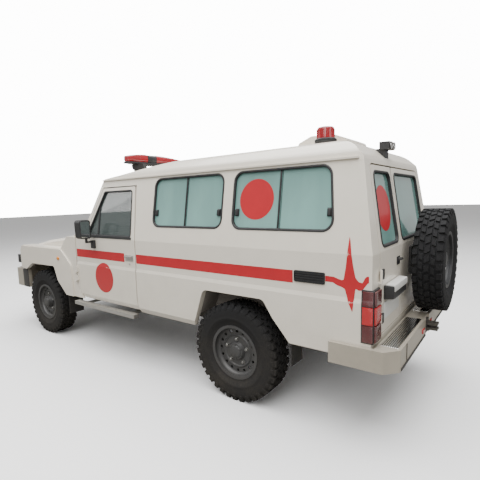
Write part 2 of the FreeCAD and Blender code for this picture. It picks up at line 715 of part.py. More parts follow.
def roof_shape(trim):
    """The roof's outer form drawn in by trim: its end view crossed with its side view."""
    across = outline("end", even([
        (f"half_width - lean - {trim}", "gutter_z + fit" if trim == "0" else "gutter_z - 2"),
        (f"half_width - lean - 10 - {trim}", f"gutter_z + 55 - {trim}", 65),
        (f"half_width - lean - 105 - {trim}", f"gutter_z + 137 - {trim}", 200),
        (f"230", f"roof_z - 12 - {trim}", 700),
    ]), "1000", "3300")
    along = outline("side", [
        (screen("gutter_z", trim), "gutter_z - 2"),
        (screen("gutter_z", f"22 + {trim}"), f"gutter_z + 22 - {trim} / 2", 20),
        (f"1540 + {trim}", f"gutter_z + 50 - {trim}", 400),
        ("2350", f"roof_z - 32 - {trim}", 1200),
        (f"body_rear - 620", f"roof_z - {trim}", 1200),
        (f"body_rear - 195 - {trim}", f"roof_z - 70 - {trim}", f"220 - {trim}"),
        (f"body_rear - 100 - {trim}", "gutter_z + 25", 30),
        (rear("gutter_z", trim), "gutter_z - 2"),
    ], "-900", "1800")
    return common(across, along)


rail_edge = box("half_width - lean - 12", "half_width - lean + 16", screen("gutter_z", 10),
                rear("gutter_z", 30), "gutter_z + fit", "gutter_z + 12")
head = f"half_width - lean - wall - fit"
node("roof", join(
    cut(roof_shape("0"), roof_shape("roof_wall")),
    rail_edge, mirror(rail_edge),
    box(f"-({head})", head, screen("head_z", 4), screen("gutter_z", 30), "head_z", "gutter_z + 8"),
))

# The rear: a frame, two doors and the spare wheel's carrier.

def rear_section(start, length, low, high, ahead="0", depth="wall"):
    """The rear face's leaning section, made solid across the vehicle."""
    return outline("side", [
        (f"body_rear - {ahead}", low), (f"body_rear - {ahead}", "belt"), (rear(high, ahead), high),
        (rear(high, f"{ahead} + {depth}"), high), (f"body_rear - {ahead} - {depth}", "belt"),
        (f"body_rear - {ahead} - {depth}", low),
    ], start, length)


frame_out = outline("end", even([
    ("half_width - 16", "tail_z"), ("half_width", "tail_z + 40"), ("half_width", "crease_low - 20"),
    ("half_width - 8", "crease_low + 10"), ("half_width - 9", "belt"), ("half_width - lean", "gutter_z"),
]), "3800", "400")
frame_in = outline("end", even([
    ("post_x", "door_bottom - gap"), ("post_x", "belt"), ("post_x - 35", "door_head + gap", 60),
]), "3700", "600")
AXIS_X = "post_x + 15"
AXIS_Y = "body_rear + 15"
rear_z = (790, 1080)
rear_lugs = [
    join(
        box("post_x + 7", "post_x + 34", "body_rear - 4", "body_rear + 23", f"{z} - 12", f"{z} - 3"),
        rod("z", "3.95", f"{z} - 8", "74", x=AXIS_X, y=AXIS_Y),
    ) for z in rear_z
]
ring = cut(
    common(rear_section("-900", "1800", "tail_z", "gutter_z"), frame_out), frame_in,
    box("-(rail_out + 25)", "rail_out + 25", "body_rear - 100", "body_rear + 20", "tail_z - 10", "rail_z + rail_h + 8"),
)
node("rear_frame", join(ring, *rear_lugs, *[mirror(lug) for lug in rear_lugs]))


def rear_door(inner, sign):
    """The outline of a rear door from its hinge edge in to where the two meet."""
    return [
        (f"{sign} * (post_x - gap)", "door_bottom"), (f"{sign} * (post_x - gap)", "belt"),
        (f"{sign} * (post_x - 35 - gap)", "door_head", 50),
        (f"split_x + {sign} * 14", "door_head"), (f"split_x + {sign} * 4", "belt"),
        (f"split_x + {sign} * 4", "door_bottom"),
    ]


def rear_pane(sign, trim):
    r = f"45 - {trim}"
    return [
        (f"{sign} * (post_x - 68 - {trim})", f"1288 + {trim}", r),
        (f"{sign} * (post_x - 96 - {trim})", f"1772 - {trim}", r),
        (f"split_x + {sign} * (58 + {trim})", f"1772 - {trim}", r),
        (f"split_x + {sign} * (50 + {trim})", f"1288 + {trim}", r),
    ]


for name, sign in (("left", "1"), ("right", "-1")):
    leaf_parts = []
    for z in rear_z:
        leaf_parts.append(join(
            rod("z", "hinge_r", f"{z}", "70", x=AXIS_X, y=AXIS_Y),
            box("post_x - 60", AXIS_X, "body_rear + 6", "body_rear + 14", f"{z} + 6", f"{z} + 64"),
            box("post_x - 60", "post_x - 14", "body_rear - 4", "body_rear + 10", f"{z} + 6", f"{z} + 64"),
        ))
    bores = [rod("z", "4", f"{z} - 1", "72", x=AXIS_X, y=AXIS_Y) for z in rear_z]
    straps = cut(join(*leaf_parts), *bores)
    if sign == "-1":
        straps = mirror(straps)
    leaf_door = cut(
        common(rear_section("-900", "1800", "door_bottom", "door_head"),
               outline("end", rear_door("split_x", sign), "3800", "400")),
        outline("end", rear_pane(sign, "0"), "3800", "400"),
    )
    node(f"rear_door_{name}", join(leaf_door, straps))
    node(f"rear_glass_{name}", common(
        rear_section("-900", "1800", "door_bottom", "gutter_z", "16", "glass"),
        outline("end", rear_pane(sign, "fit"), "3800", "400"),
    ))

node("spare_carrier", join(
    box("spare_x - 150", "spare_x + 150", "body_rear + fit", "body_rear + 20", "spare_z - 110", "spare_z + 110"),
    rod("y", "48", "body_rear + 15", "spare_y + 30 - body_rear - 15", x="spare_x", z="spare_z"),
    rod("y", "95", "spare_y + 15", "15 - fit", x="spare_x", z="spare_z"),
))
lamp = box("post_x + 38", "half_width - 4", "body_rear + fit", "body_rear + 22", "lamp_low", "lamp_high")
node("tail_lamps", both(lamp))
node("rear_bumper", outline("plan", even([
    ("half_width + 6", "3805"), ("bumper_half", "3805"), ("bumper_half", "bumper_rear - 80", 20),
    ("bumper_half - 90", "bumper_rear", 20),
    ("60", "bumper_rear"), ("60", "bumper_rear - 12"),
]) [:6] + [("-60", "bumper_rear - 12"), ("-60", "bumper_rear"), ("-(bumper_half - 90)", "bumper_rear", 20),
           ("-bumper_half", "bumper_rear - 80", 20), ("-bumper_half", "3805"), ("-(half_width + 6)", "3805"),
           ("-(half_width + 6)", "body_rear + 20"), ("half_width + 6", "body_rear + 20")],
    "552", "bumper_z - 552"))
node("tow_hook", cut(
    join(
        box("-50", "50", "bumper_rear - 12 + fit", "bumper_rear", "570", "670"),
        box("-38", "38", "bumper_rear - 2", "bumper_rear + 75", "596", "612"),
        box("-38", "38", "bumper_rear - 2", "bumper_rear + 75", "634", "650"),
    ),
    rod("z", "hitch_r", "590", "70", y="bumper_rear + 45"),
))

# Underbody trim: steps and flaps.

step = join(
    box("half_width - 5", "half_width + 57", "780", "1832", "step_z", "step_z + 38"),
    *[box("rail_out + fit", "half_width", f"{y}", f"{y} + 40", "step_z + 4", "step_z + 26") for y in (900, 1680)],
)
node("side_steps", both(step))
node("mud_flaps", group(*[part for flap in (
    box("640", "half_width - wing_wall - fit", "500", "508", "320", "690"),
    box("622", "half_width - 58", "3478", "3486", "400", "floor_z - fit"),
) for part in (flap, mirror(flap))]))

# Cab and patient compartment.

dash = box("-760", "760", "door_front - 10 + fit", "1010", "980", "1170")
node("dashboard", dash)
column = DOC.addObject("Part::Cylinder", "column")
column.Radius = 20
column.Height = 150
wheel_rim = DOC.addObject("Part::Torus", "wheel_rim")
wheel_rim.Radius1 = 185
wheel_rim.Radius2 = 13
wheel_rim.Placement.Base = Vector(0, 0, 150)
spoke = DOC.addObject("Part::Box", "spoke")
spoke.Length, spoke.Width, spoke.Height = 360, 40, 12
spoke.Placement.Base = Vector(-180, -20, 142)
steering = join(column, wheel_rim, spoke)
steering.Placement.Rotation = Rotation(Vector(1, 0, 0), -62)
place(steering, "370", behind("1010 - 40"), "1120")
node("steering_wheel", cut(steering, box("-765", "765", "bonnet_hinge", "1010 + fit", "900", "1171")))
seat = join(
    box("200", "600", "1200", "1600", "floor_z + floor_wall + fit", "850"),
    outline("side", [("1200", "840", 30), ("1650", "840"), ("1650", "955", 30), ("1200", "970", 40)],
            "150", "500"),
    outline("side", [("1610", "850"), ("1730", "850"), ("1810", "1420", 30), ("1730", "1420", 30)],
            "160", "480"),
    outline("side", [("1742", "1400"), ("1802", "1400"), ("1826", "1560", 25), ("1768", "1560", 25)],
            "280", "240"),
)
node("front_seats", both(seat))
inner = "half_width - 9 - wall - 2 * fit"
node("partition", cut(
    outline("end", even([
        (inner, "floor_z + floor_wall + fit"), (inner, "belt"), (f"{inner} - lean + 9", "gutter_z - fit"),
    ]), "1920", "18"),
    outline("end", [("-300", "1300", 30), ("300", "1300", 30), ("300", "1650", 30), ("-300", "1650", 30)],
            "1900", "60"),
))
LEVEL = "floor_z + floor_wall + fit"
node("bench", join(
    box("-780", "-360", "1960", "3900", "1060", "1120"),
    box("-380", "-360", "1960", "3900", LEVEL, "1070"),
    *[box("-570", "-370", f"{y}", f"{y} + 20", LEVEL, "1070") for y in (1960, 2900, 3880)],
))
node("stretcher", join(
    box("80", "560", "2020", "3860", "1000", "1040"),
    outline("side", [("2040", "1035", 15), ("3840", "1035", 15), ("3840", "1115", 30), ("2040", "1115", 30)],
            "95", "450"),
    *[box(x0, f"{x0} + 30", f"{y}", f"{y} + 40", LEVEL, "1005") for x0 in ("100", "510") for y in (2150, 3650)],
))

# Roof fittings, each shaped underneath to the roof.

def seated(shape, up="fit"):
    trimmed = cut(shape, roof_shape("0"))
    return place(trimmed, 0, 0, up)


bar = outline("plan", even([
    ("420", "1195", 30), ("400", "1255", 25), ("120", "1165"),
]) [:3] + [("-120", "1165"), ("-400", "1255", 25), ("-420", "1195", 30), ("-110", "1075", 20), ("110", "1075", 20)],
    "2058", "122")
foot = seated(outline("side", [("1110", "2030"), ("1110", "2057.4"), ("1310", "2057.4"), ("1370", "1858"), ("1272", "1858")],
                      "205", "50"))
node("light_bar", bar)
node("roof_mounts", group(foot, mirror(foot), seated(rod("z", "81", "1980", "56", x="350", y="3556"), "2 * fit")))
node("beacon", rod("z", "68", "2036 + 3 * fit", "102", x="350", y="3556", top_radius="64"))
node("roof_vent", seated(outline("side", [("3220", "1980"), ("3640", "1980"), ("3640", "2068", 30), ("3540", "2112", 70),
                                          ("3340", "2120", 70), ("3220", "2070", 30)], "-330", "480")))
node("work_light", seated(join(
    box("135", "195", "3925", "3995", "1940", "1995"), box("210", "270", "3925", "3995", "1940", "1995"),
    box("160", "245", "3890", "3960", "1880", "1950"),
)))

DOC.recompute()
broken = [thing.Label for thing in DOC.Objects if {"Invalid", "Error"} & set(thing.State)]
if broken:
    raise RuntimeError("did not build: " + ", ".join(broken))
os.makedirs("parts", exist_ok=True)
for name, thing in NODES.items():
    shape = thing.Shape
    if shape.isNull() or not shape.isValid() or not shape.Solids:
        raise RuntimeError(f"{name} is not a sound solid")
    shape.exportStep(f"parts/{name}.step")
    edges = shape.BoundBox
    print(f"{name:20s} solids {len(shape.Solids)} x {edges.XMin:7.0f} {edges.XMax:7.0f} "
          f"y {edges.YMin:7.0f} {edges.YMax:7.0f} z {edges.ZMin:6.0f} {edges.ZMax:6.0f}")
print(len(NODES), "nodes")
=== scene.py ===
# %% [markdown]
# # A high-roof four-wheel-drive ambulance
# The bare metalwork comes in from the CAD frame, already in place and in metres.
# These cells give it paint, glass and rubber, and add what metalwork alone lacks:
# tread, seals, lamps, stripes, hinges, padding. +Z is up, the nose is towards -Y and
# the vehicle's left side is +X.

# %% Bring in the frame
import json
import math
import bmesh
import bpy
from mathutils import Matrix, Vector


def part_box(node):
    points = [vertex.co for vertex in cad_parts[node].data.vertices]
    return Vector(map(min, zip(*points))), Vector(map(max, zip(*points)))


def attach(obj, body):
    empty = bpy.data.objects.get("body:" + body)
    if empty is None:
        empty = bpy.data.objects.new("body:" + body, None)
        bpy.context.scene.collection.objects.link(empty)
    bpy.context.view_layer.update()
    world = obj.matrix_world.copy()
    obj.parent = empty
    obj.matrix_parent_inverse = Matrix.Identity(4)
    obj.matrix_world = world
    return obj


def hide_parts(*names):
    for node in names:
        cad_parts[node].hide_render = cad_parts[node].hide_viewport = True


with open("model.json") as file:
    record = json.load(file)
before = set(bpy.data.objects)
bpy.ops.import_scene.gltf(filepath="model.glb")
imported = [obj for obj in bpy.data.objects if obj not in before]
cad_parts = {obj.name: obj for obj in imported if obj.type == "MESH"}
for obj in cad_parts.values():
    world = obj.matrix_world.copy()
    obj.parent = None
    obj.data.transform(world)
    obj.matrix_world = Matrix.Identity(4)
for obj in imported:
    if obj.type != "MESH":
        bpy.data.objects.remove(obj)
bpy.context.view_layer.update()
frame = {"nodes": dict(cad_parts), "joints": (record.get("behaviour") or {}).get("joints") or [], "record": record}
nodes = frame["nodes"]
joints = {j["name"]: j for j in frame["joints"]}
AXLE = joints["wheel_front_left_spin"]["pos_m"][1]

# %% [markdown]
# ## Shared surface effects
# Nothing on a working vehicle is one flat colour. Three small node groups carry the
# unevenness that all its finishes share, so each finish only states how much it wants.
# *Grain* is a fine bump, *Weathering* lays road dust that thickens towards the ground
# over a faint mottle, and *Scuffs* is a mask of small worn spots and scratches.

# %% A helper that starts a node group
def node_group(name, inputs, outputs):
    """An empty shader group. Inputs map a name to (socket type, default)."""
    group = bpy.data.node_groups.new(name, "ShaderNodeTree")
    for label, (kind, default) in inputs.items():
        socket = group.interface.new_socket(label, in_out="INPUT", socket_type=kind)
        if default is not None:
            socket.default_value = default
    for label, kind in outputs.items():
        group.interface.new_socket(label, in_out="OUTPUT", socket_type=kind)
    return group, group.nodes.new("NodeGroupInput"), group.nodes.new("NodeGroupOutput")


def add(tree, kind, values=(), **links):
    """A node with its values set by socket and its links made. A link is a socket."""
    made = tree.nodes.new(kind)
    for key, value in dict(values).items():
        if isinstance(key, str) and hasattr(made, key) and key not in made.inputs:
            setattr(made, key, value)
        else:
            made.inputs[key].default_value = value
    for key, socket in links.items():
        name = key.replace("_", " ") if key.replace("_", " ") in made.inputs else key
        target = made.inputs[int(key[1:])] if key[0] == "i" and key[1:].isdigit() else made.inputs[name]
        tree.links.new(socket, target)
    return made


NUMBER, VECTOR, COLOUR = "NodeSocketFloat", "NodeSocketVector", "NodeSocketColor"

# %% Grain: a fine all-over bump height
grain_group, inside, outside = node_group(
    "Grain", {"Vector": (VECTOR, None), "Scale": (NUMBER, 300.0)}, {"Height": NUMBER, "Tone": NUMBER})
noise = add(grain_group, "ShaderNodeTexNoise", {"Detail": 4.0, "Roughness": 0.6},
            Vector=inside.outputs["Vector"], Scale=inside.outputs["Scale"])
grain_group.links.new(noise.outputs["Fac"], outside.inputs["Height"])
grain_group.links.new(noise.outputs["Fac"], outside.inputs["Tone"])
print("group", grain_group.name)

# %% Weathering: mottle everywhere, and dust that thickens towards the ground
weather_group, inside, outside = node_group("Weathering", {
    "Vector": (VECTOR, None), "Colour": (COLOUR, (1, 1, 1, 1)), "Dust Colour": (COLOUR, (0.34, 0.29, 0.22, 1)),
    "Dust": (NUMBER, 0.3), "Dust Top": (NUMBER, 1.0), "Mottle": (NUMBER, 0.06),
}, {"Colour": COLOUR, "Dust": NUMBER})
split = add(weather_group, "ShaderNodeSeparateXYZ", Vector=inside.outputs["Vector"])
height = add(weather_group, "ShaderNodeMapRange", {"From Min": 0.2, "To Min": 1.0, "To Max": 0.0},
             Value=split.outputs["Z"], From_Max=inside.outputs["Dust Top"])
cloud = add(weather_group, "ShaderNodeTexNoise", {"Scale": 5.0, "Detail": 6.0, "Roughness": 0.65},
            Vector=inside.outputs["Vector"])
speck = add(weather_group, "ShaderNodeTexNoise", {"Scale": 90.0, "Detail": 3.0}, Vector=inside.outputs["Vector"])
patch = add(weather_group, "ShaderNodeMapRange", {"From Min": 0.35, "From Max": 0.7}, Value=cloud.outputs["Fac"])
rise = add(weather_group, "ShaderNodeMath", {"operation": "MULTIPLY_ADD", 2: 0.0}, i0=height.outputs["Result"],
           i1=patch.outputs["Result"])
base = add(weather_group, "ShaderNodeMath", {"operation": "MULTIPLY", 1: 0.45}, i0=height.outputs["Result"])
both = add(weather_group, "ShaderNodeMath", {"operation": "ADD"}, i0=rise.outputs[0], i1=base.outputs[0])
spotty = add(weather_group, "ShaderNodeMath", {"operation": "MULTIPLY"}, i0=both.outputs[0], i1=speck.outputs["Fac"])
dust = add(weather_group, "ShaderNodeMath", {"operation": "MULTIPLY", "use_clamp": True}, i0=spotty.outputs[0],
           i1=inside.outputs["Dust"])
shade = add(weather_group, "ShaderNodeMapRange", {"From Min": 0.3, "From Max": 0.7, "To Min": 1.0},
            Value=cloud.outputs["Fac"])
less = add(weather_group, "ShaderNodeMath", {"operation": "SUBTRACT", 0: 1.0}, i1=inside.outputs["Mottle"])
weather_group.links.new(less.outputs[0], shade.inputs["To Max"])
tone = add(weather_group, "ShaderNodeMix", {"data_type": "RGBA", "blend_type": "MULTIPLY", 0: 1.0},
           i6=inside.outputs["Colour"], i7=shade.outputs["Result"])
dusty = add(weather_group, "ShaderNodeMix", {"data_type": "RGBA"}, i0=dust.outputs[0], i6=tone.outputs[2],
            i7=inside.outputs["Dust Colour"])
weather_group.links.new(dusty.outputs[2], outside.inputs["Colour"])
weather_group.links.new(dust.outputs[0], outside.inputs["Dust"])
print("group", weather_group.name)

# %% Scuffs: a mask of scattered worn spots and drawn-out scratches
scuff_group, inside, outside = node_group(
    "Scuffs", {"Vector": (VECTOR, None), "Scale": (NUMBER, 14.0), "Amount": (NUMBER, 0.3)}, {"Mask": NUMBER})
stretch = add(scuff_group, "ShaderNodeMapping", {"Scale": (1.0, 0.35, 2.6)}, Vector=inside.outputs["Vector"])
spots = add(scuff_group, "ShaderNodeTexNoise", {"Detail": 8.0, "Roughness": 0.75},
            Vector=stretch.outputs["Vector"], Scale=inside.outputs["Scale"])
edge = add(scuff_group, "ShaderNodeMapRange", {"From Min": 0.66, "From Max": 0.74}, Value=spots.outputs["Fac"])
scaled = add(scuff_group, "ShaderNodeMath", {"operation": "MULTIPLY", "use_clamp": True}, i0=edge.outputs["Result"],
             i1=inside.outputs["Amount"])
scuff_group.links.new(scaled.outputs[0], outside.inputs["Mask"])
print("group", scuff_group.name)

# %% [markdown]
# ## Finishes
# One function makes every opaque finish from those groups, because paint, rubber,
# plastic and plated steel differ in numbers, not in kind: base colour, roughness,
# how metallic, how much dust and how coarse a grain. The shader itself is always the
# Principled BSDF, with constant values set on its own sockets.

# %% One maker for the opaque finishes
def finish_of(name, colour, rough, metallic=0.0, coat=0.0, dust=0.25, dust_top=1.1, mottle=0.06,
              grain=260.0, bump=0.05, scuffs=0.15, scuff_colour=(0.25, 0.24, 0.22, 1), scuff_scale=14.0, **extra):
    material = bpy.data.materials.new(name)
    material.use_nodes = True
    tree = material.node_tree
    shader = tree.nodes["Principled BSDF"]
    place = tree.nodes.new("ShaderNodeTexCoord").outputs["Object"]

    def grouped(group, values):
        made = tree.nodes.new("ShaderNodeGroup")
        made.node_tree = group
        tree.links.new(place, made.inputs["Vector"])
        for key, value in values.items():
            made.inputs[key].default_value = value
        return made

    weather = grouped(weather_group, {"Colour": (*colour, 1), "Dust": dust, "Dust Top": dust_top, "Mottle": mottle})
    worn = grouped(scuff_group, {"Scale": scuff_scale, "Amount": scuffs})
    fine = grouped(grain_group, {"Scale": grain})
    mixed = add(tree, "ShaderNodeMix", {"data_type": "RGBA", 7: scuff_colour}, i0=worn.outputs["Mask"],
                i6=weather.outputs["Colour"])
    dulled = add(tree, "ShaderNodeMath", {"operation": "MULTIPLY_ADD", 1: 0.5, 2: rough - 0.03},
                 i0=weather.outputs["Dust"])
    uneven = add(tree, "ShaderNodeMath", {"operation": "MULTIPLY_ADD", 1: 0.08, "use_clamp": True},
                 i0=fine.outputs["Tone"], i2=dulled.outputs[0])
    bumped = add(tree, "ShaderNodeBump", {"Strength": bump, "Distance": 0.002}, Height=fine.outputs["Height"])
    tree.links.new(mixed.outputs[2], shader.inputs["Base Color"])
    tree.links.new(uneven.outputs[0], shader.inputs["Roughness"])
    tree.links.new(bumped.outputs["Normal"], shader.inputs["Normal"])
    shader.inputs["Metallic"].default_value = metallic
    shader.inputs["Coat Weight"].default_value = coat
    for key, value in extra.items():
        shader.inputs[key.replace("_", " ")].default_value = value
    return material


PAINT = (0.80, 0.745, 0.645)
RED = (0.52, 0.014, 0.022)
FINISH = {
    "paint": finish_of("cream_paint", PAINT, 0.30, coat=0.5, dust=0.42, dust_top=0.95, mottle=0.05,
                       grain=900, bump=0.012, scuffs=0.10, scuff_colour=(0.45, 0.42, 0.36, 1), Coat_Roughness=0.12),
    "stripe": finish_of("red_stripe_film", RED, 0.36, coat=0.2, dust=0.25, mottle=0.12, grain=500, bump=0.02,
                        scuffs=0.25, scuff_colour=(0.55, 0.22, 0.22, 1)),
    "steel": finish_of("wheel_steel", (0.075, 0.076, 0.078), 0.42, metallic=0.35, dust=0.16, dust_top=0.9,
                       mottle=0.3, grain=420, bump=0.06, scuffs=0.4, scuff_colour=(0.16, 0.155, 0.145, 1)),
    "nut": finish_of("bright_nut", (0.34, 0.34, 0.33), 0.35, metallic=1.0, dust=0.3, mottle=0.2, grain=800),
    "tyre": finish_of("tyre_rubber", (0.016, 0.016, 0.017), 0.80, dust=0.12, dust_top=0.80, mottle=0.3, grain=520,
                      bump=0.25, scuffs=0.35, scuff_colour=(0.045, 0.042, 0.037, 1), scuff_scale=30,
                      Specular_IOR_Level=0.25),
    "rubber": finish_of("seal_rubber", (0.02, 0.02, 0.021), 0.55, dust=0.18, mottle=0.2, grain=700, bump=0.08),
    "black": finish_of("black_plastic", (0.026, 0.026, 0.027), 0.42, dust=0.2, dust_top=1.0, mottle=0.15,
                       grain=650, bump=0.14, scuff_colour=(0.1, 0.1, 0.1, 1)),
    "chassis": finish_of("chassis_black", (0.03, 0.029, 0.028), 0.55, dust=0.6, dust_top=1.0, mottle=0.3,
                         grain=220, bump=0.18, scuffs=0.5, scuff_colour=(0.13, 0.07, 0.04, 1)),
    "engine": finish_of("cast_grey", (0.22, 0.22, 0.21), 0.6, metallic=0.5, dust=0.5, grain=160, bump=0.4),
    "champagne": finish_of("champagne_bumper", (0.50, 0.455, 0.375), 0.34, metallic=0.35, coat=0.25, dust=0.25,
                           mottle=0.12, grain=700, bump=0.03, scuffs=0.3, scuff_colour=(0.2, 0.17, 0.13, 1)),
    "chrome": finish_of("bright_plate", (0.80, 0.79, 0.77), 0.12, metallic=1.0, dust=0.12, grain=500, bump=0.02),
    "alloy": finish_of("step_alloy", (0.60, 0.59, 0.56), 0.36, metallic=0.9, dust=0.35, grain=340, bump=0.15,
                       scuffs=0.5, scuff_colour=(0.3, 0.28, 0.25, 1)),
    "liner": finish_of("arch_liner", (0.34, 0.31, 0.28), 0.8, dust=0.5, dust_top=1.2, mottle=0.3, grain=120,
                       bump=0.5),
    "cloth": finish_of("seat_cloth", (0.11, 0.12, 0.14), 0.85, dust=0.1, dust_top=0.9, grain=1400, bump=0.5),
    "vinyl": finish_of("pad_vinyl", (0.045, 0.10, 0.20), 0.45, dust=0.08, dust_top=0.9, grain=900, bump=0.3),
    "trim": finish_of("cabin_trim", (0.62, 0.62, 0.59), 0.5, dust=0.12, dust_top=0.9, grain=500, bump=0.2),
    "orange": finish_of("amber_lens", (0.75, 0.25, 0.02), 0.2, coat=0.5, dust=0.15, grain=300),
}
print(len(FINISH), "opaque finishes")

# %% [markdown]
# ### Glass and lenses
# The patient windows carry a grey-green privacy film, so they read as a pale sheet
# with soft reflections and hardly show the room. The cab glass is ordinary tinted
# safety glass. Lamp lenses are clear-coated coloured plastic that lets some light in.

# %% Glass and coloured lenses
def glassy(name, colour, rough, alpha, transmission, streak=0.12, ribs=0.0, fade=0.0, **extra):
    material = bpy.data.materials.new(name)
    material.use_nodes = True
    tree = material.node_tree
    shader = tree.nodes["Principled BSDF"]
    place = tree.nodes.new("ShaderNodeTexCoord").outputs["Object"]
    wipe = add(tree, "ShaderNodeMapping", {"Scale": (1.0, 1.5, 0.5)}, Vector=place)
    noise = add(tree, "ShaderNodeTexNoise", {"Scale": 3.0, "Detail": 5.0}, Vector=wipe.outputs["Vector"])
    shade = add(tree, "ShaderNodeMapRange", {"From Min": 0.3, "From Max": 0.7, "To Min": 1.0 - streak, "To Max": 1.0},
                Value=noise.outputs["Fac"])
    tint = add(tree, "ShaderNodeMix", {"data_type": "RGBA", "blend_type": "MULTIPLY", 0: 1.0, 6: (*colour, 1)},
               i7=shade.outputs["Result"])
    last = tint.outputs[2]
    if fade:
        split = add(tree, "ShaderNodeSeparateXYZ", Vector=place)
        window = {"From Min": 1.35, "From Max": 1.85, "To Min": 1.0 + fade, "To Max": 1.0 - fade}
        up = add(tree, "ShaderNodeMapRange", window, Value=split.outputs["Z"])
        last = add(tree, "ShaderNodeMix", {"data_type": "RGBA", "blend_type": "MULTIPLY", 0: 1.0}, i6=last,
                   i7=up.outputs["Result"]).outputs[2]
    tree.links.new(last, shader.inputs["Base Color"])
    smear = add(tree, "ShaderNodeMath", {"operation": "MULTIPLY_ADD", 1: 0.08, 2: rough}, i0=noise.outputs["Fac"])
    tree.links.new(smear.outputs[0], shader.inputs["Roughness"])
    if ribs:
        wave = add(tree, "ShaderNodeTexWave", {"Scale": ribs, "bands_direction": "Z"}, Vector=place)
        bump = add(tree, "ShaderNodeBump", {"Strength": 0.5, "Distance": 0.002}, Height=wave.outputs["Fac"])
        tree.links.new(bump.outputs["Normal"], shader.inputs["Normal"])
    shader.inputs["Alpha"].default_value = alpha
    shader.inputs["Transmission Weight"].default_value = transmission
    for key, value in extra.items():
        shader.inputs[key.replace("_", " ")].default_value = value
    return material


FINISH.update({
    "cab_glass": glassy("cab_glass", (0.10, 0.125, 0.12), 0.02, 0.62, 0.0, Coat_Weight=0.6),
    "frosted": glassy("privacy_glass", (0.21, 0.40, 0.365), 0.10, 1.0, 0.0, streak=0.22, fade=0.16, Coat_Weight=1.0),
    "red_lens": glassy("red_lens", (0.55, 0.015, 0.02), 0.06, 0.94, 0.0, ribs=60, Coat_Weight=1.0),
    "dark_lens": glassy("smoked_lens", (0.10, 0.012, 0.014), 0.08, 1.0, 0.0, ribs=60, Coat_Weight=1.0),
    "clear_lens": glassy("clear_lens", (0.75, 0.75, 0.74), 0.05, 0.8, 0.0, ribs=60, Coat_Weight=1.0),
    "dome": glassy("beacon_dome", (0.36, 0.008, 0.014), 0.10, 0.97, 0.0, streak=0.3, Coat_Weight=0.6,
                   Emission_Color=(0.5, 0.01, 0.02, 1), Emission_Strength=0.05),
    "mirror": finish_of("mirror_face", (0.75, 0.78, 0.78), 0.03, metallic=1.0, dust=0.05, scuffs=0.0, bump=0.0),
})
print(len(FINISH), "finishes in all")

# %% Give each CAD node its finish
CAD_FINISH = {
    "tyre": "tyre", "wheel_steel": "steel", "chassis_black": "chassis", "engine_metal": "engine",
    "body_paint": "paint", "cab_glass": "cab_glass", "frosted_glass": "frosted", "black_plastic": "black",
    "lamp_clear": "clear_lens", "lamp_red": "red_lens", "beacon_red": "dome", "step_alloy": "alloy",
    "bumper_metal": "champagne", "rubber": "rubber", "seat_cover": "cloth", "cabin_trim": "trim",
}
slot_of = {part["node"]: part["material_slot"] for part in frame["record"]["subparts"]}
for name, thing in nodes.items():
    thing.data.materials.clear()
    thing.data.materials.append(FINISH[CAD_FINISH[slot_of[name]]])
nodes["floor_pan"].data.materials[0] = FINISH["liner"]
print(len(nodes), "nodes finished")

# %% [markdown]
# ## Finding a place on the body
# Nearly everything added to the body lies on its side or its tail, and both bend: the
# side is upright to the belt line and leans in above it, and the tail leans forward
# there. So two functions turn a position *along* and *up* plus a distance *out* into a
# point, and every strip, seal and badge is drawn flat and then laid on with them.

# %% The body's side and tail as surfaces
SIDE = [(0.555, 0.823), (0.600, 0.845), (0.955, 0.845), (0.985, 0.837), (1.257, 0.836), (1.850, 0.733)]


def side_x(z):
    for (z0, x0), (z1, x1) in zip(SIDE, SIDE[1:]):
        if z <= z1:
            return x0 + (x1 - x0) * max(0.0, z - z0) / (z1 - z0)
    return SIDE[-1][1]


def on_side(sign):
    """Along is metres behind the front axle."""
    return lambda along, up, out=0.0: Vector((sign * (side_x(up) + out), AXLE + along, up))


def on_tail(across, up, out=0.0):
    back = 4.065 - 0.092 * max(0.0, up - 1.257) / 0.593
    return Vector((across, AXLE + back + out, up))


LEFT, RIGHT = on_side(1), on_side(-1)
print("belt", [round(v, 3) for v in LEFT(1.0, 1.257)], "tail", [round(v, 3) for v in on_tail(0, 1.85)])

# %% Turning vertices and faces into a piece
made_pieces = []


def piece(name, verts, faces, body, finish, slot, smooth=True, bevel=0.0):
    """A mesh that rides on a body. A bevel rounds its hard edges."""
    mesh = bpy.data.meshes.new(name)
    mesh.from_pydata([tuple(v) for v in verts], [], faces)
    return dress(name, mesh, body, finish, smooth, bevel)


def dress(name, mesh, body, finish, smooth=True, bevel=0.0):
    work = bmesh.new()
    work.from_mesh(mesh)
    bmesh.ops.remove_doubles(work, verts=work.verts, dist=1e-6)
    bmesh.ops.recalc_face_normals(work, faces=work.faces)
    if bevel:
        sharp = [e for e in work.edges if e.is_manifold and e.calc_face_angle() > 0.5]
        bmesh.ops.bevel(work, geom=sharp, offset=bevel, segments=2, affect="EDGES", profile=0.6,
                        clamp_overlap=True)
    work.to_mesh(mesh)
    work.free()
    if smooth:
        mesh.shade_smooth()
        mesh.set_sharp_from_angle(angle=math.radians(38))
    mesh.materials.clear()
    mesh.materials.append(FINISH[finish])
    thing = bpy.data.objects.new(name, mesh)
    bpy.context.scene.collection.objects.link(thing)
    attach(thing, body)
    made_pieces.append(name)
    return thing


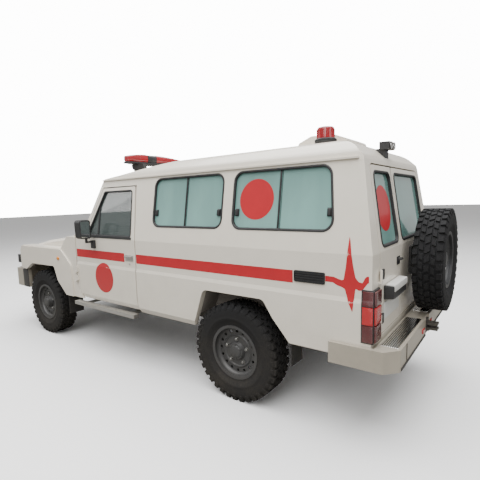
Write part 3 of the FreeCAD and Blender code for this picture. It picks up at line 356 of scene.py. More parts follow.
def block(place, a, b, out, divide=(1, 1), taper=0.0):
    """A box laid on a surface, cut up enough to follow its bends: verts and faces."""
    us = [a[0] + (a[1] - a[0]) * i / divide[0] for i in range(divide[0] + 1)]
    vs = [b[0] + (b[1] - b[0]) * i / divide[1] for i in range(divide[1] + 1)]
    verts, faces = [], []
    mid_a, mid_b = (a[0] + a[1]) / 2, (b[0] + b[1]) / 2
    for layer, depth in enumerate(out):
        k = 1 - taper * layer
        verts += [place(mid_a + (u - mid_a) * k, mid_b + (v - mid_b) * k, depth) for v in vs for u in us]
    w, h = len(us), len(vs)
    at = lambda layer, j, i: layer * w * h + j * w + i
    for layer in (0, 1):
        faces += [(at(layer, j, i), at(layer, j, i + 1), at(layer, j + 1, i + 1), at(layer, j + 1, i))
                  for j in range(h - 1) for i in range(w - 1)]
    for i in range(w - 1):
        for j in (0, h - 1):
            faces.append((at(0, j, i), at(0, j, i + 1), at(1, j, i + 1), at(1, j, i)))
    for j in range(h - 1):
        for i in (0, w - 1):
            faces.append((at(0, j, i), at(0, j + 1, i), at(1, j + 1, i), at(1, j, i)))
    return verts, faces


def merged(*parts):
    """Several (verts, faces) as one."""
    verts, faces = [], []
    for more, their in parts:
        faces += [tuple(i + len(verts) for i in face) for face in their]
        verts += list(more)
    return verts, faces


def flat(x, y, z):
    """A plain place, for things that aren't on the skin."""
    return lambda a, b, out=0.0: Vector((x + a, y + b, z + out))


# %% [markdown]
# ## Rings round the windows
# Each pane sits in a black rubber moulding. The moulding is one closed ring: its
# outline is a rounded four-sided shape, its section a soft lip that stands a few
# millimetres proud. Sweeping the section round the outline by hand, instead of with a
# curve's bevel, keeps the lip square to the leaning panel all the way round.

# %% Rounded outlines and the rings that follow them
def rounded(corners, radius, steps=6):
    """A closed outline with its corners rounded."""
    points = []
    count = len(corners)
    for i, corner in enumerate(corners):
        here = Vector(corner)
        back = (Vector(corners[i - 1]) - here).normalized()
        ahead = (Vector(corners[(i + 1) % count]) - here).normalized()
        half = back.angle(ahead) / 2
        reach = radius / math.tan(half)
        centre = here + (back + ahead).normalized() * (radius / math.sin(half))
        start, end = here + back * reach - centre, here + ahead * reach - centre
        for k in range(steps + 1):
            mix = start.normalized().slerp(end.normalized(), k / steps)
            points.append(centre + mix.normalized() * radius)
    return points


def offset(points, by):
    """The outline drawn in by a distance."""
    count = len(points)
    centre = sum(points, Vector((0, 0))) / count
    moved = []
    for i, here in enumerate(points):
        along = (points[(i + 1) % count] - points[i - 1]).normalized()
        normal = Vector((-along.y, along.x))
        if normal.dot(centre - here) < 0:
            normal = -normal
        moved.append(here + normal * by)
    return moved


def ring(place, points, section):
    """Sweeps a closed section of (inwards, outwards) distances round an outline."""
    loops = [[place(p.x, p.y, out) for p in offset(points, by)] for by, out in section]
    count, deep = len(points), len(section)
    verts = [v for loop in loops for v in loop]
    faces = [(j * count + i, j * count + (i + 1) % count, ((j + 1) % deep) * count + (i + 1) % count,
              ((j + 1) % deep) * count + i) for j in range(deep) for i in range(count)]
    return verts, faces


LIP = [(-0.011, 0.0), (-0.010, 0.004), (-0.005, 0.006), (0.002, 0.005), (0.006, 0.001), (0.007, -0.014),
       (-0.005, -0.014)]
print("lip section of", len(LIP), "points")

# %% Side windows: moulding, sliding divider and latches
WINDOWS = [[(2.076, 1.400), (2.876, 1.400), (2.876, 1.822), (2.076, 1.822)],
           [(2.991, 1.400), (3.805, 1.400), (3.765, 1.822), (2.991, 1.822)]]
for side_name, place in (("left", LEFT), ("right", RIGHT)):
    for number, corners in enumerate(WINDOWS, 1):
        outline = rounded(corners, 0.070, 8)
        piece(f"window_seal_{side_name}_{number}", *ring(place, outline, LIP), "body", "rubber", "rubber")
        middle = corners[0][0] + (corners[1][0] - corners[0][0]) * 0.49
        bars = [block(place, (middle - 0.007, middle + 0.007), (1.405, 1.817), (-0.017, -0.008), (1, 4)),
                block(place, (middle + 0.013, middle + 0.016), (1.405, 1.817), (-0.017, -0.012), (1, 4))]
        for end in (corners[0][0] + 0.034, corners[1][0] - 0.034):
            bars.append(block(place, (end - 0.017, end + 0.017), (1.490, 1.548), (-0.014, 0.004), (1, 1), 0.3))
        piece(f"window_bars_{side_name}_{number}", *merged(*bars), "body", "rubber", "rubber", bevel=0.0015)
print("side windows done")

# %% Cab and tail windows
def screen_back(z):
    return 0.905 + 0.305 / 0.543 * (z - 1.257)


door_window = [(screen_back(1.285) + 0.100, 1.285), (1.760, 1.285), (1.732, 1.737),
               (screen_back(1.737) + 0.108, 1.737)]
THIN = [(-0.009, 0.0), (-0.008, 0.003), (0.003, 0.004), (0.010, -0.002), (0.010, -0.014), (-0.004, -0.014)]
for side_name, place in (("left", LEFT), ("right", RIGHT)):
    outline = rounded(door_window, 0.028, 6)
    body = f"front_door_{side_name}"
    piece(f"door_seal_{side_name}", *ring(place, outline, THIN), body, "rubber", "rubber")
    piece(f"waist_strip_{side_name}", *block(place, (1.02, 1.775), (1.262, 1.285), (0.0, 0.006), (6, 2)), body,
          "rubber", "rubber", bevel=0.002)
    bar = merged(block(place, (1.195, 1.213), (1.29, 1.722), (-0.018, -0.008), (1, 6)))
    piece(f"quarter_bar_{side_name}", *bar, body, "black", "black_plastic")
TAIL_PANES = {
    "left": [(0.622, 1.288), (0.594, 1.772), (0.238, 1.772), (0.230, 1.288)],
    "right": [(-0.622, 1.288), (-0.594, 1.772), (0.122, 1.772), (0.130, 1.288)],
}
for side_name, corners in TAIL_PANES.items():
    body = f"rear_door_{side_name}"
    piece(f"tail_window_seal_{side_name}", *ring(on_tail, rounded(corners, 0.045, 8), LIP), body, "rubber", "rubber")
print("cab and tail windows done")

# %% Windscreen moulding
def on_screen(across, up, out=0.0):
    lean = math.atan2(0.305, 0.543)
    return Vector((across, AXLE + screen_back(up) + 0.010 - out * math.cos(lean), up + out * math.sin(lean)))


screen_corners = [(-0.781, 1.282), (0.781, 1.282), (0.694, 1.797), (-0.694, 1.797)]
piece("screen_seal", *ring(on_screen, rounded(screen_corners, 0.05, 6),
                           [(-0.002, 0.000), (-0.001, 0.006), (0.022, 0.006), (0.026, 0.001), (0.0, -0.004)]),
      "body", "rubber", "rubber")
wipers = []
for foot in (-0.42, 0.18):
    wipers.append(block(on_screen, (foot - 0.006, foot + 0.30), (1.300, 1.312), (0.012, 0.022), (3, 1)))
    wipers.append(block(on_screen, (foot - 0.020, foot + 0.020), (1.284, 1.310), (0.004, 0.020), (1, 1), 0.3))
piece("wipers", *merged(*wipers), "body", "black", "black_plastic", bevel=0.002)
print("windscreen done")

# %% [markdown]
# ## Wheels
# The tyres are all-terrain ones: a smooth carcass with separate rubber blocks. A
# carcass is a lathe job, one section spun round the axle. The blocks repeat round it,
# and the wheel nuts repeat round the hub, so one small Geometry Nodes tree serves both:
# it copies whatever mesh it is given, turning and shifting each copy a step further.

# %% A tree that repeats a mesh by turning it, shifting it, or both
def repeat_tree():
    tree = bpy.data.node_groups.new("Repeat", "GeometryNodeTree")
    face = tree.interface
    face.new_socket("Geometry", in_out="INPUT", socket_type="NodeSocketGeometry")
    face.new_socket("Count", in_out="INPUT", socket_type="NodeSocketInt")
    face.new_socket("Turn", in_out="INPUT", socket_type="NodeSocketFloat")
    face.new_socket("Shift", in_out="INPUT", socket_type="NodeSocketVector")
    face.new_socket("Material", in_out="INPUT", socket_type="NodeSocketMaterial")
    face.new_socket("Geometry", in_out="OUTPUT", socket_type="NodeSocketGeometry")
    start, end = tree.nodes.new("NodeGroupInput"), tree.nodes.new("NodeGroupOutput")
    one = add(tree, "GeometryNodeGeometryToInstance")
    tree.links.new(start.outputs["Geometry"], one.inputs[0])
    many = add(tree, "GeometryNodeDuplicateElements", {"domain": "INSTANCE"}, Geometry=one.outputs[0],
               Amount=start.outputs["Count"])
    index = many.outputs["Duplicate Index"]
    angle = add(tree, "ShaderNodeMath", {"operation": "MULTIPLY"}, i0=index, i1=start.outputs["Turn"])
    around = add(tree, "ShaderNodeCombineXYZ", X=angle.outputs[0])
    turned = add(tree, "GeometryNodeRotateInstances", Instances=many.outputs["Geometry"],
                 Rotation=around.outputs[0])
    along = add(tree, "ShaderNodeVectorMath", {"operation": "SCALE"}, i0=start.outputs["Shift"], Scale=index)
    moved = add(tree, "GeometryNodeTranslateInstances", {"Local Space": False}, Instances=turned.outputs[0],
                Translation=along.outputs[0])
    real = add(tree, "GeometryNodeRealizeInstances", Geometry=moved.outputs[0])
    painted = add(tree, "GeometryNodeSetMaterial", Geometry=real.outputs[0], Material=start.outputs["Material"])
    tree.links.new(painted.outputs[0], end.inputs[0])
    return tree


REPEAT = repeat_tree()
REPEAT_KEY = {item.name: item.identifier for item in REPEAT.interface.items_tree if item.in_out == "INPUT"}


def repeated(shape, count, finish, turn=0.0, shift=(0, 0, 0)):
    """A plain mesh of the shape repeated count times."""
    mesh = bpy.data.meshes.new("one")
    mesh.from_pydata([tuple(v) for v in shape[0]], [], shape[1])
    holder = bpy.data.objects.new("holder", mesh)
    bpy.context.scene.collection.objects.link(holder)
    modifier = holder.modifiers.new("repeat", "NODES")
    modifier.node_group = REPEAT
    for key, value in (("Count", count), ("Turn", turn), ("Shift", shift), ("Material", FINISH[finish])):
        modifier[REPEAT_KEY[key]] = value
    done = bpy.data.meshes.new_from_object(holder.evaluated_get(bpy.context.evaluated_depsgraph_get()))
    bpy.data.objects.remove(holder)
    return [v.co.copy() for v in done.vertices], [tuple(p.vertices) for p in done.polygons]


print("repeat inputs", sorted(REPEAT_KEY))

# %% Lathe work: a section spun round the X axis
def lathe(section, steps=72, closed=True):
    """Section points are (along the axis, radius)."""
    verts, faces = [], []
    for k in range(steps):
        a = 2 * math.pi * k / steps
        verts += [Vector((u, r * math.sin(a), r * math.cos(a))) for u, r in section]
    n = len(section)
    for k in range(steps):
        for j in range(n if closed else n - 1):
            a, b = k * n + j, k * n + (j + 1) % n
            c, d = ((k + 1) % steps) * n + (j + 1) % n, ((k + 1) % steps) * n + j
            faces.append((a, b, c, d))
    return verts, faces


def moved(shape, matrix):
    return [matrix @ Vector(v) for v in shape[0]], shape[1]


def lug(u0, u1, low, high, arc, lean=0.0, shrink=0.86):
    """One block standing on the tread, a little smaller at its top."""
    verts = []
    for layer, r in enumerate((low, high)):
        k = 1.0 if layer == 0 else shrink
        for u, side in ((u0, -1), (u1, -1), (u1, 1), (u0, 1)):
            mid = (u0 + u1) / 2
            a = (side * arc * k / 2 + lean * (u - mid)) / 0.4
            verts.append(Vector((mid + (u - mid) * k, r * math.sin(a), r * math.cos(a))))
    return verts, [(3, 2, 1, 0), (4, 5, 6, 7), (0, 1, 5, 4), (1, 2, 6, 5), (2, 3, 7, 6), (3, 0, 4, 7)]


half = [(0.0, 0.389), (0.060, 0.388), (0.084, 0.384), (0.094, 0.376), (0.0985, 0.366), (0.1015, 0.362),
        (0.1015, 0.356), (0.1025, 0.352), (0.1040, 0.330), (0.1042, 0.306), (0.1030, 0.290), (0.1042, 0.286),
        (0.1042, 0.280), (0.1010, 0.272), (0.0960, 0.256), (0.0885, 0.242), (0.0865, 0.231), (0.0860, 0.224),
        (0.0770, 0.2225), (0.0765, 0.208)]
carcass = lathe(half[1:] + [(-u, r) for u, r in reversed(half)], 96)
PITCH = 36
tread = merged(*[
    repeated(moved(lug(*rows), Matrix.Rotation(start * 2 * math.pi / PITCH, 4, "X")), PITCH, "tyre",
             2 * math.pi / PITCH)
    for rows, start in (
        ((0.060, 0.0985, 0.374, 0.3995, 0.047, 0.10), 0.0), ((-0.0985, -0.060, 0.374, 0.3995, 0.047, 0.10), 0.5),
        ((0.024, 0.055, 0.384, 0.4000, 0.050, -0.35), 0.45), ((-0.055, -0.024, 0.384, 0.4000, 0.050, -0.35), 0.95),
        ((-0.019, 0.019, 0.384, 0.4000, 0.052, 0.45), 0.2),
    )
])
side_lugs = repeated(([Vector((u, r * math.sin(a), r * math.cos(a))) for u, r, a in (
    (0.097, 0.377, -0.05), (0.097, 0.377, 0.05), (0.102, 0.352, 0.035), (0.102, 0.352, -0.035),
    (0.1015, 0.377, -0.045), (0.1015, 0.377, 0.045), (0.1058, 0.354, 0.03), (0.1058, 0.354, -0.03))],
    [(3, 2, 1, 0), (4, 5, 6, 7), (0, 1, 5, 4), (1, 2, 6, 5), (2, 3, 7, 6), (3, 0, 4, 7)]), PITCH, "tyre",
    2 * math.pi / PITCH)
other_side = moved(side_lugs, Matrix.Diagonal((-1, 1, 1, 1)) @ Matrix.Rotation(math.pi / PITCH, 4, "X"))
TYRE = merged(carcass, tread, side_lugs, other_side)
print("tyre of", len(TYRE[1]), "faces")

# %% [markdown]
# ## What sits on a wheel
# The pressed steel disc comes from the CAD with its ring of round vents. What is added
# is the raised swage between hub and vents, five plated nuts on their seats, the
# rolled lip of the rim and, at the front, the free-wheeling hub's ribbed knob.

# %% Nuts, swage, lip and hub
hexagon = [(0.0400, 0.0), (0.0400, 0.0165), (0.0435, 0.0165), (0.0440, 0.0125), (0.0580, 0.0125), (0.0610, 0.0095),
           (0.0610, 0.0)]
nut = moved(lathe(hexagon, 6, closed=False), Matrix.Translation((0, 0, 0.100)))
NUTS = repeated(nut, 5, "nut", 2 * math.pi / 5)
swage = lathe([(0.0385, 0.118), (0.0440, 0.123), (0.0475, 0.130), (0.0440, 0.137), (0.0385, 0.142)], 64)
lip = lathe([(0.0860, 0.2195), (0.0880, 0.2225), (0.0885, 0.2200), (0.0870, 0.1990), (0.0855, 0.1985)], 72)
dish = lathe([(0.0395, 0.176), (0.0430, 0.184), (0.0520, 0.192), (0.0640, 0.1965), (0.0640, 0.199),
              (0.0395, 0.199)], 72)
WHEEL_TRIM = merged(swage, lip, dish)
knob_rib = moved(block(flat(0, 0, 0), (0.086, 0.1000), (-0.0035, 0.0035), (0.0, 0.006), (1, 1)),
                 Matrix.Translation((0, 0, 0.044)))


def hub_of(reach):
    """The hub's end: a turned cover with ribs round its knob."""
    top = 0.030 + reach
    cover = lathe([(top - 0.010, 0.0), (top - 0.010, 0.066), (top - 0.001, 0.0655), (top + 0.001, 0.050),
                   (top + 0.008, 0.046), (top + 0.010, 0.040), (top + 0.010, 0.0)], 48, closed=False)
    ribs = repeated(moved(knob_rib, Matrix.Translation((top - 0.092, 0, 0))), 12, "steel", math.pi / 6)
    bolts = repeated(moved(lathe([(top - 0.002, 0.0), (top - 0.002, 0.006), (top + 0.005, 0.006), (top + 0.005, 0.0)],
                                 6, closed=False), Matrix.Translation((0, 0, 0.057))), 6, "steel", math.pi / 3)
    return merged(cover, ribs, bolts)


def dress_wheel(tag, matrix, body, tyre_node, hub):
    tyre = piece(f"tyre_{tag}_tread", *moved(TYRE, matrix), body, "tyre", "tyre")
    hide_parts(tyre_node)
    piece(f"wheel_trim_{tag}", *moved(WHEEL_TRIM, matrix), body, "steel", "wheel_steel")
    piece(f"wheel_nuts_{tag}", *moved(NUTS, matrix), body, "nut", "wheel_steel")
    piece(f"wheel_hub_{tag}", *moved(hub_of(hub), matrix), body, "steel", "wheel_steel", bevel=0.001)


def wheel_place(node, turn):
    low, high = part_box(node)
    return Matrix.Translation((low + high) / 2) @ Matrix.Rotation(turn, 4, "Z")


for end, hub in (("front", 0.062), ("rear", 0.034)):
    for side_name, turn in (("left", 0.0), ("right", math.pi)):
        tag = f"{end}_{side_name}"
        dress_wheel(tag, wheel_place(f"tyre_{tag}", turn), f"wheel_{tag}", f"tyre_{tag}", hub)
spare_place = wheel_place("spare_tyre", math.pi / 2)
dress_wheel("spare", spare_place, "rear_door_right", "spare_tyre", 0.034)
print("five wheels dressed")

# %% [markdown]
# ## Stripes and signs
# The livery is thin film stuck to the paint: a broad red band from the wing to the
# tail, ending in a heartbeat mark, and plain red discs on doors and glass. Film is a
# sheet with almost no thickness, so each piece is drawn flat and laid 1 mm off the
# skin. The door and the body each carry their own length, so the band splits when a
# door opens.

# %% Film laid on the skin
def band(place, a, b, divide=(24, 6)):
    """A rectangle of film."""
    us = [a[0] + (a[1] - a[0]) * i / divide[0] for i in range(divide[0] + 1)]
    vs = sorted({b[0] + (b[1] - b[0]) * i / divide[1] for i in range(divide[1] + 1)})
    verts = [place(u, v, FILM) for v in vs for u in us]
    w = len(us)
    return verts, [(j * w + i, j * w + i + 1, (j + 1) * w + i + 1, (j + 1) * w + i)
                   for j in range(len(vs) - 1) for i in range(w - 1)]


def disc(place, a, b, radius, rings=8, steps=48):
    """A round of film."""
    verts = [place(a, b, FILM)]
    for k in range(1, rings + 1):
        verts += [place(a + radius * k / rings * math.cos(t), b + radius * k / rings * math.sin(t), FILM)
                  for t in (2 * math.pi * s / steps for s in range(steps))]
    faces = [(0, 1 + s, 1 + (s + 1) % steps) for s in range(steps)]
    for k in range(rings - 1):
        for s in range(steps):
            p, q = 1 + k * steps + s, 1 + k * steps + (s + 1) % steps
            faces.append((p, p + steps, q + steps, q))
    return verts, faces


BAND = (1.036, 1.124)
FILM = 0.0011          # how far film lies off the skin, its own thickness and a hair
GLASS_IN = 0.016       # how far the panes are set in
# The heartbeat is one wide mark: its upper and lower edges, (along, up).
PULSE_TOP = [(3.766, 1.109), (3.823, 1.108), (3.850, 1.098), (3.878, 1.091), (3.888, 1.096), (3.903, 1.190),
             (3.917, 1.367), (3.924, 1.350), (3.947, 1.193), (3.964, 1.113), (3.985, 1.090), (4.007, 1.086),
             (4.022, 1.118), (4.034, 1.130), (4.046, 1.130)]
PULSE_LOW = [(3.766, 1.071), (3.815, 1.071), (3.845, 1.055), (3.878, 1.046), (3.896, 1.036), (3.918, 0.960),
             (3.946, 0.897), (3.950, 0.905), (3.958, 1.000), (3.964, 1.046), (3.985, 1.036), (4.007, 1.040),
             (4.026, 1.068), (4.038, 1.086), (4.046, 1.090)]


def height_of(line, at):
    """The height of an edge line at a distance along."""
    for (u0, v0), (u1, v1) in zip(line, line[1:]):
        if at <= u1:
            return v0 + (v1 - v0) * (at - u0) / (u1 - u0)
    return line[-1][1]


def filled(place, top, low, step=0.0035, rows=12):
    """Film between two edge lines, cut into thin upright strips with one at each tip."""
    start, length = top[0][0], top[-1][0] - top[0][0]
    count = math.ceil(length / step)
    tips = {max(top, key=lambda p: p[1])[0], min(low, key=lambda p: p[1])[0]}
    us = sorted({start + length * k / count for k in range(count + 1)} | tips)
    verts = []
    for u in us:
        foot, head = height_of(low, u), height_of(top, u)
        verts += [place(u, foot + (head - foot) * k / rows, FILM) for k in range(rows + 1)]
    w = rows + 1
    return verts, [(w * i + k, w * i + w + k, w * i + w + k + 1, w * i + k + 1)
                   for i in range(len(us) - 1) for k in range(rows)]


for side_name, place in (("left", LEFT), ("right", RIGHT)):
    door = f"front_door_{side_name}"
    piece(f"band_door_{side_name}", *band(place, (0.792, 1.655), BAND), door, "stripe", "body_paint")
    piece(f"band_side_{side_name}", *band(place, (1.838, 3.528), BAND), "body", "stripe", "body_paint")
    piece(f"heartbeat_{side_name}", *filled(place, PULSE_TOP, PULSE_LOW), "body", "stripe", "body_paint")
    piece(f"disc_door_{side_name}", *disc(place, 1.300, 0.842, 0.158), door, "stripe", "body_paint")
    glass = lambda a, b, out=0.0, p=place: p(a, b, out - GLASS_IN)
    piece(f"disc_window_{side_name}", *disc(glass, 3.190, 1.615, 0.150), "body", "stripe", "body_paint")
tail_glass = lambda a, b, out=0.0: on_tail(a, b, out - GLASS_IN)
piece("disc_tail", *disc(tail_glass, 0.430, 1.530, 0.155), "rear_door_left", "stripe", "body_paint")
print("film laid")

# %% [markdown]
# ## Small fittings on the skin
# The air outlet behind the band, the door pulls, the tail doors' hinges and lamp
# housing are all moulded or pressed parts screwed on. Each is a few bevelled blocks
# laid on the surface with the same two functions.

# %% Air outlet, door pulls and side lamps
for side_name, place in (("left", LEFT), ("right", RIGHT)):
    fins = [block(place, (3.545, 3.757), (z, z + 0.007), (0.002, 0.010), (4, 1), 0.02)
            for z in (1.058, 1.075, 1.092, 1.109)]
    frame_parts = [ring(place, rounded([(3.538, 1.048), (3.764, 1.048), (3.764, 1.128), (3.538, 1.128)], 0.012, 4),
                        [(0.0, 0.0), (0.001, 0.009), (0.007, 0.010), (0.009, 0.0)]),
                   block(place, (3.540, 3.762), (1.050, 1.126), (0.0, 0.0025), (4, 1))]
    piece(f"air_outlet_{side_name}", *merged(*frame_parts, *fins), "body", "black", "black_plastic")
    door = f"front_door_{side_name}"
    pull = [block(place, (1.672, 1.796), (1.050, 1.110), (0.0, 0.004), (3, 2), 0.03),
            block(place, (1.680, 1.780), (1.084, 1.102), (0.004, 0.026), (3, 1), 0.08)]
    piece(f"door_pull_{side_name}", *merged(*pull), door, "alloy", "step_alloy", bevel=0.003)
    lock = lathe([(0.0, 0.0), (0.0, 0.011), (0.004, 0.010), (0.006, 0.006), (0.006, 0.0)], 20, closed=False)
    sign = 1 if side_name == "left" else -1
    turn = Matrix.Rotation(0 if sign == 1 else math.pi, 4, "Z")
    piece(f"door_lock_{side_name}", *moved(lock, Matrix.Translation(place(1.735, 1.022)) @ turn), door, "chrome",
          "wheel_steel")
    marker = lathe([(0.0, 0.0), (0.0, 0.022), (0.010, 0.020), (0.016, 0.012), (0.018, 0.0)], 28, closed=False)
    at = Matrix.Translation((sign * 0.862, AXLE + 0.410, 0.990)) @ turn
    piece(f"side_marker_{side_name}", *moved(marker, at), "body", "orange", "lamp_clear")
print("side fittings done")

# %% Tail: hinges, pull, lamp housing, blank plate and the seal between the doors
for side_name, sign in (("left", 1), ("right", -1)):
    covers = [block(on_tail, (sign * 0.628, sign * 0.676), (z, z + 0.070), (0.006, 0.016), (1, 1), 0.06)
              for z in (0.790, 1.080)]
    piece(f"tail_hinge_{side_name}", *merged(*covers), f"rear_door_{side_name}", "black", "black_plastic",
          bevel=0.003)
housing = block(on_tail, (0.235, 0.600), (0.935, 1.030), (0.0, 0.062), (1, 1), 0.10)
piece("plate_lamp", *housing, "rear_door_left", "black", "black_plastic", bevel=0.008)
cover = block(on_tail, (0.232, 0.580), (0.985, 1.034), (0.004, 0.066), (1, 1), 0.06)
piece("plate_lamp_cover", *cover, "rear_door_left", "trim", "cabin_trim", bevel=0.006)
piece("plate_lens", *block(on_tail, (0.270, 0.565), (0.926, 0.936), (0.012, 0.050), (1, 1)), "rear_door_left",
      "clear_lens", "lamp_clear", bevel=0.002)
piece("blank_plate", *block(on_tail, (0.225, 0.610), (0.800, 0.915), (0.002, 0.006), (1, 1)), "rear_door_left",
      "trim", "cabin_trim", bevel=0.002)
pull = [block(on_tail, (0.212, 0.290), (1.118, 1.178), (0.0, 0.006), (1, 1), 0.05),
        block(on_tail, (0.220, 0.282), (1.152, 1.168), (0.006, 0.030), (1, 1), 0.1)]
piece("tail_pull", *merged(*pull), "rear_door_left", "black", "black_plastic", bevel=0.003)


def meeting(up):
    """Half the gap between the tail doors, which widens where they lean."""
    return 0.004 + 0.010 * max(0.0, up - 1.257) / (1.815 - 1.257)


levels = [0.720, 0.95, 1.2, 1.257, 1.35, 1.45, 1.55, 1.65, 1.75, 1.812]
verts, faces = [], []
for up in levels:
    x0, x1 = 0.180 - meeting(up) + 0.0012, 0.180 + meeting(up) + 0.001
    verts += [on_tail(x0, up, -0.024), on_tail(x1, up, -0.024), on_tail(x1, up, -0.006), on_tail(x0, up, -0.006)]
for k in range(len(levels) - 1):
    for j in range(4):
        faces.append((4 * k + j, 4 * k + (j + 1) % 4, 4 * k + 4 + (j + 1) % 4, 4 * k + 4 + j))
faces += [(0, 1, 2, 3), tuple(4 * (len(levels) - 1) + j for j in (3, 2, 1, 0))]
piece("tail_seal", verts, faces, "rear_door_right", "rubber", "rubber")
print("tail fittings done")

# %% Tail lamps: a red lens between two smoked ones, in a housing that turns the corner
LAMP_UP = (0.708, 1.046)
LENSES = (("top", 0.944, 1.038, "dark_lens"), ("middle", 0.828, 0.940, "red_lens"),
          ("low", 0.716, 0.824, "dark_lens"))
for side_name, sign, place in (("left", 1, LEFT), ("right", -1, RIGHT)):
    shell = block(on_tail, (sign * 0.716, sign * 0.842), LAMP_UP, (0.0003, 0.014), (1, 1), 0.01)
    lamp = piece(f"tail_lamp_{side_name}", *shell, "body", "black", "black_plastic", bevel=0.004)
    if sign == 1:
        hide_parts("tail_lamps")
    for label, low, high, look in LENSES:
        lens = block(on_tail, (sign * 0.722, sign * 0.837), (low, high), (0.014, 0.027), (4, 4), 0.05)
        piece(f"tail_lens_{label}_{side_name}", *lens, "body", look, "lamp_red", bevel=0.004)
        wrap = block(place, (4.010, 4.076), (low, high), (0.004, 0.009), (2, 6), 0.02)
        piece(f"tail_wrap_{label}_{side_name}", *wrap, "body", look, "lamp_red", bevel=0.002)
    edge = block(place, (4.002, 4.080), LAMP_UP, (0.0003, 0.004), (2, 8), 0.01)
    piece(f"tail_wrap_frame_{side_name}", *edge, "body", "black", "black_plastic", bevel=0.0015)
print("tail lamps done")

# %% [markdown]
# ## Bumpers
# The rear bumper is a step: bright ribbed treads on its top, reflectors on its face and
# dark end caps. The treads are ribs repeated across the step.

# %% Step treads, reflectors and caps
def back_face(across, up, out=0.0):
    return Vector((across, AXLE + 4.225 + out, up))


for side_name, sign in (("left", 1), ("right", -1)):
    plate = block(flat(0, AXLE, 0.690), (sign * 0.100, sign * 0.780), (4.096, 4.206), (0.0, 0.0016), (1, 1))
    rib = block(flat(0, AXLE, 0.6916), (sign * 0.108, sign * 0.772), (4.102, 4.108), (0.0, 0.0032), (1, 1), 0.004)
    ribs = repeated(rib, 9, "chrome", shift=(0, 0.0122, 0))
    piece(f"step_tread_{side_name}", *merged(plate, ribs), "body", "chrome", "step_alloy")
    bit = block(back_face, (sign * 0.115, sign * 0.185), (0.605, 0.635), (0.0, 0.008), (1, 1), 0.08)
    piece(f"reflector_{side_name}", *bit, "body", "red_lens", "lamp_red", bevel=0.002)
    groove = [block(back_face, (sign * 0.064, sign * 0.780), (0.556, 0.572), (0.0, 0.004), (1, 1)),
              block(back_face, (sign * 0.64, sign * 0.648), (0.573, 0.686), (0.0, 0.003), (1, 1))]
    piece(f"bumper_strip_{side_name}", *merged(*groove), "body", "rubber", "rubber")
    cap = [block(lambda a, b, o=0.0, s=sign: Vector((s * (0.830 + o), AXLE + a, b)), (-0.62, -0.472), (0.528, 0.772),
                 (-0.030, 0.006), (1, 1))]
    piece(f"bumper_cap_{side_name}", *merged(*cap), "body", "black", "black_plastic", bevel=0.006)
print("bumpers done")

# %% [markdown]
# ## Roof lights
# The front bar is a shallow V with a red lens on a black base, thinner towards its
# tips, so it is lofted from sections along its length. The beacon is a lathe shape with
# fine vertical flutes.

# %% Light bar
def bar_section(x, low, high, grow=0.0):
    """A rounded section of the bar at a distance across."""
    t = abs(x) / 0.418
    mid = 1.112 + 0.105 * t ** 1.25
    depth = 0.066 - 0.034 * t ** 2 + grow
    rise = 1.0 - 0.42 * t ** 2
    tall = (high - low) * rise
    points = []
    for k in range(16):
        a = 2 * math.pi * k / 16
        c, s = math.cos(a), math.sin(a)
        shape_y = math.copysign(abs(c) ** 0.6, c)
        shape_z = math.copysign(abs(s) ** 0.6, s)
        points.append(Vector((x, AXLE + mid + depth * shape_y, low + tall / 2 + tall / 2 * shape_z)))
    return points


def bar_part(low, high, x0, x1, grow=0.0, steps=20):
    xs = [x0 + (x1 - x0) * k / steps for k in range(steps + 1)]
    rows = [bar_section(x, low, high, grow) for x in xs]
    verts = [p for row in rows for p in row]
    faces = [(16 * k + j, 16 * k + (j + 1) % 16, 16 * k + 16 + (j + 1) % 16, 16 * k + 16 + j)
             for k in range(steps) for j in range(16)]
    return verts, faces + [tuple(range(15, -1, -1)), tuple(16 * steps + j for j in range(16))]


lens = piece("bar_lens", *merged(*[bar_part(2.080, 2.186, *ends) for ends in ((-0.412, -0.070), (0.070, 0.412))]),
             "body", "dome", "beacon_red")
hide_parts("light_bar")
piece("bar_base", *bar_part(2.056, 2.096, -0.420, 0.420, 0.004), "body", "black", "black_plastic")
piece("bar_middle", *bar_part(2.078, 2.183, -0.068, 0.068, 0.001), "body", "black", "black_plastic")
print("light bar done")

# %% Beacon, vent pod ribs and work lamps
spun = Matrix.Translation((0.350, AXLE + 3.556, 2.037)) @ Matrix.Rotation(-math.pi / 2, 4, "Y")
dome = lathe([(0.014, 0.0), (0.014, 0.0675), (0.084, 0.0640), (0.094, 0.061), (0.100, 0.054), (0.1025, 0.040),
              (0.103, 0.0)], 56, closed=False)
flute = moved(block(flat(0, 0, 0), (0.018, 0.082), (-0.0014, 0.0014), (0.0, 0.0022), (4, 1)),
              Matrix.Translation((0, 0, 0.0652)))
shell = piece("beacon_dome", *moved(merged(dome, repeated(flute, 40, "dome", math.pi / 20)), spun), "body", "dome",
              "beacon_red")
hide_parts("beacon")
collar = lathe([(0.001, 0.0), (0.001, 0.082), (0.007, 0.082), (0.011, 0.076), (0.016, 0.071), (0.016, 0.0)], 56,
               closed=False)
piece("beacon_collar", *moved(collar, spun), "body", "rubber", "rubber")
slat = block(flat(0, AXLE, 2.1170), (-0.290, 0.110), (3.385, 3.397), (0.0, 0.006), (1, 1), 0.02)
piece("vent_slats", *repeated(slat, 5, "paint", shift=(0, 0.030, -0.0012)), "body", "paint", "body_paint")
lamps = []
for x in (0.165, 0.240):
    cup = lathe([(0.0, 0.0), (0.0, 0.024), (0.008, 0.028), (0.010, 0.026), (0.006, 0.020), (0.004, 0.0)], 24,
                closed=False)
    lamps.append(moved(cup, Matrix.Translation((x, AXLE + 3.995, 1.9675)) @ Matrix.Rotation(math.pi / 2, 4, "Z")))
piece("work_lamp_rims", *merged(*lamps), "body", "chrome", "wheel_steel")
print("roof fittings done")

